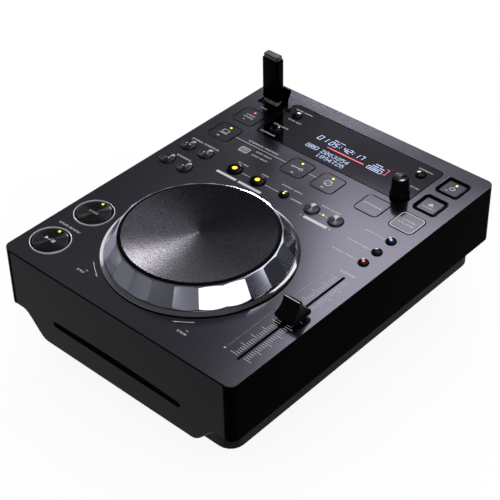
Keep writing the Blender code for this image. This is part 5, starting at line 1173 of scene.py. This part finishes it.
def floor():
    """A wide pale floor, white to the camera and in gloss, which keeps part of the object's shadow."""
    bm = bmesh.new()
    bmesh.ops.create_circle(bm, cap_ends=True, radius=FLOOR_RADIUS, segments=FLOOR_STEPS)
    made = new_object("floor", new_mesh("floor", bm))
    look, tree, shader = new_material("floor_white")
    place = node(tree, "ShaderNodeTexCoord").outputs["Object"]
    grain = noise(tree, place, FLOOR_GRAIN)
    fill(shader, Base_Color=mixed(tree, grain, FLOOR_DARK, FLOOR_LIGHT), Roughness=FLOOR_ROUGH)
    share = mapped(tree, seen_rays(tree), 0.0, FLOOR_GLOW_SHARE, 0.0, 1.0)
    reach = vector_step(tree, place, "LENGTH")["Value"]
    near = mapped(tree, reach, 1.0, FLOOR_FAR_SHARE, *FLOOR_FAR)
    left = toward(tree, place, bearing(FLOOR_RIGHT_AZIMUTH), 1.0, FLOOR_RIGHT_SHARE, FLOOR_RIGHT)
    near = combined(tree, near, left, "MULTIPLY")
    straight = node(tree, "ShaderNodeLightPath").outputs["Is Camera Ray"]
    glow = node(tree, "ShaderNodeEmission")
    fill(glow, Strength=combined(tree, near, straight, "MAXIMUM"))
    shader_mix(tree, share, shader, glow, "Material Output")
    made.data.materials.append(look)


def world():
    """White for the camera. Gloss sees a white backdrop low at the back and a dim room round it."""
    made = bpy.data.worlds.new("studio")
    bpy.context.scene.world = made
    made.use_nodes = True
    tree = made.node_tree
    soft = tree.nodes["Background"]
    fill(soft, Color=(*SOFT_COLOUR, 1), Strength=SOFT_STRENGTH)
    direction = node(tree, "ShaderNodeTexCoord").outputs["Generated"]
    room = toward(tree, direction, bearing(ROOM_AZIMUTH), ROOM_LEFT, ROOM_RIGHT, ROOM_TURN)
    for aim, share, turn in ROOM_FALLS:
        room = combined(tree, room, toward(tree, direction, aim, 1.0, share, turn), "MULTIPLY")
    across = toward(tree, direction, bearing(BACKDROP_AZIMUTH), 0.0, 1.0, BACKDROP_TURN)
    under = toward(tree, direction, UPWARD, 1.0, 0.0, BACKDROP_TOP)
    left = toward(tree, direction, bearing(*LEFT_CARD), 0.0, 1.0, LEFT_CARD_TURN)
    backdrop = combined(tree, combined(tree, across, under, "MULTIPLY"), left, "MAXIMUM")
    straight = node(tree, "ShaderNodeLightPath").outputs["Is Camera Ray"]
    level = combined(tree, straight, combined(tree, room, backdrop, "MAXIMUM"), "MAXIMUM")
    white = node(tree, "ShaderNodeBackground")
    fill(white, Color=(1, 1, 1, 1), Strength=level)
    shader_mix(tree, seen_rays(tree), soft, white, "World Output")


def softbox(name, azimuth, elevation, distance, width, depth, power):
    """A lamp that faces the middle of the panel."""
    data = bpy.data.lights.new(name, "AREA")
    data.shape = "RECTANGLE"
    data.size = width
    data.size_y = depth
    data.energy = power
    made = new_object(name, data)
    way = bearing(azimuth, elevation)
    made.location = way * distance + Vector((0, 0, PANEL_TOP))
    made.rotation_mode = "QUATERNION"
    made.rotation_quaternion = (-way).to_track_quat("-Z", "Y")


camera()
floor()
world()
for box in SOFTBOXES:
    softbox(*box)
bpy.context.scene.view_settings.view_transform = "Standard"
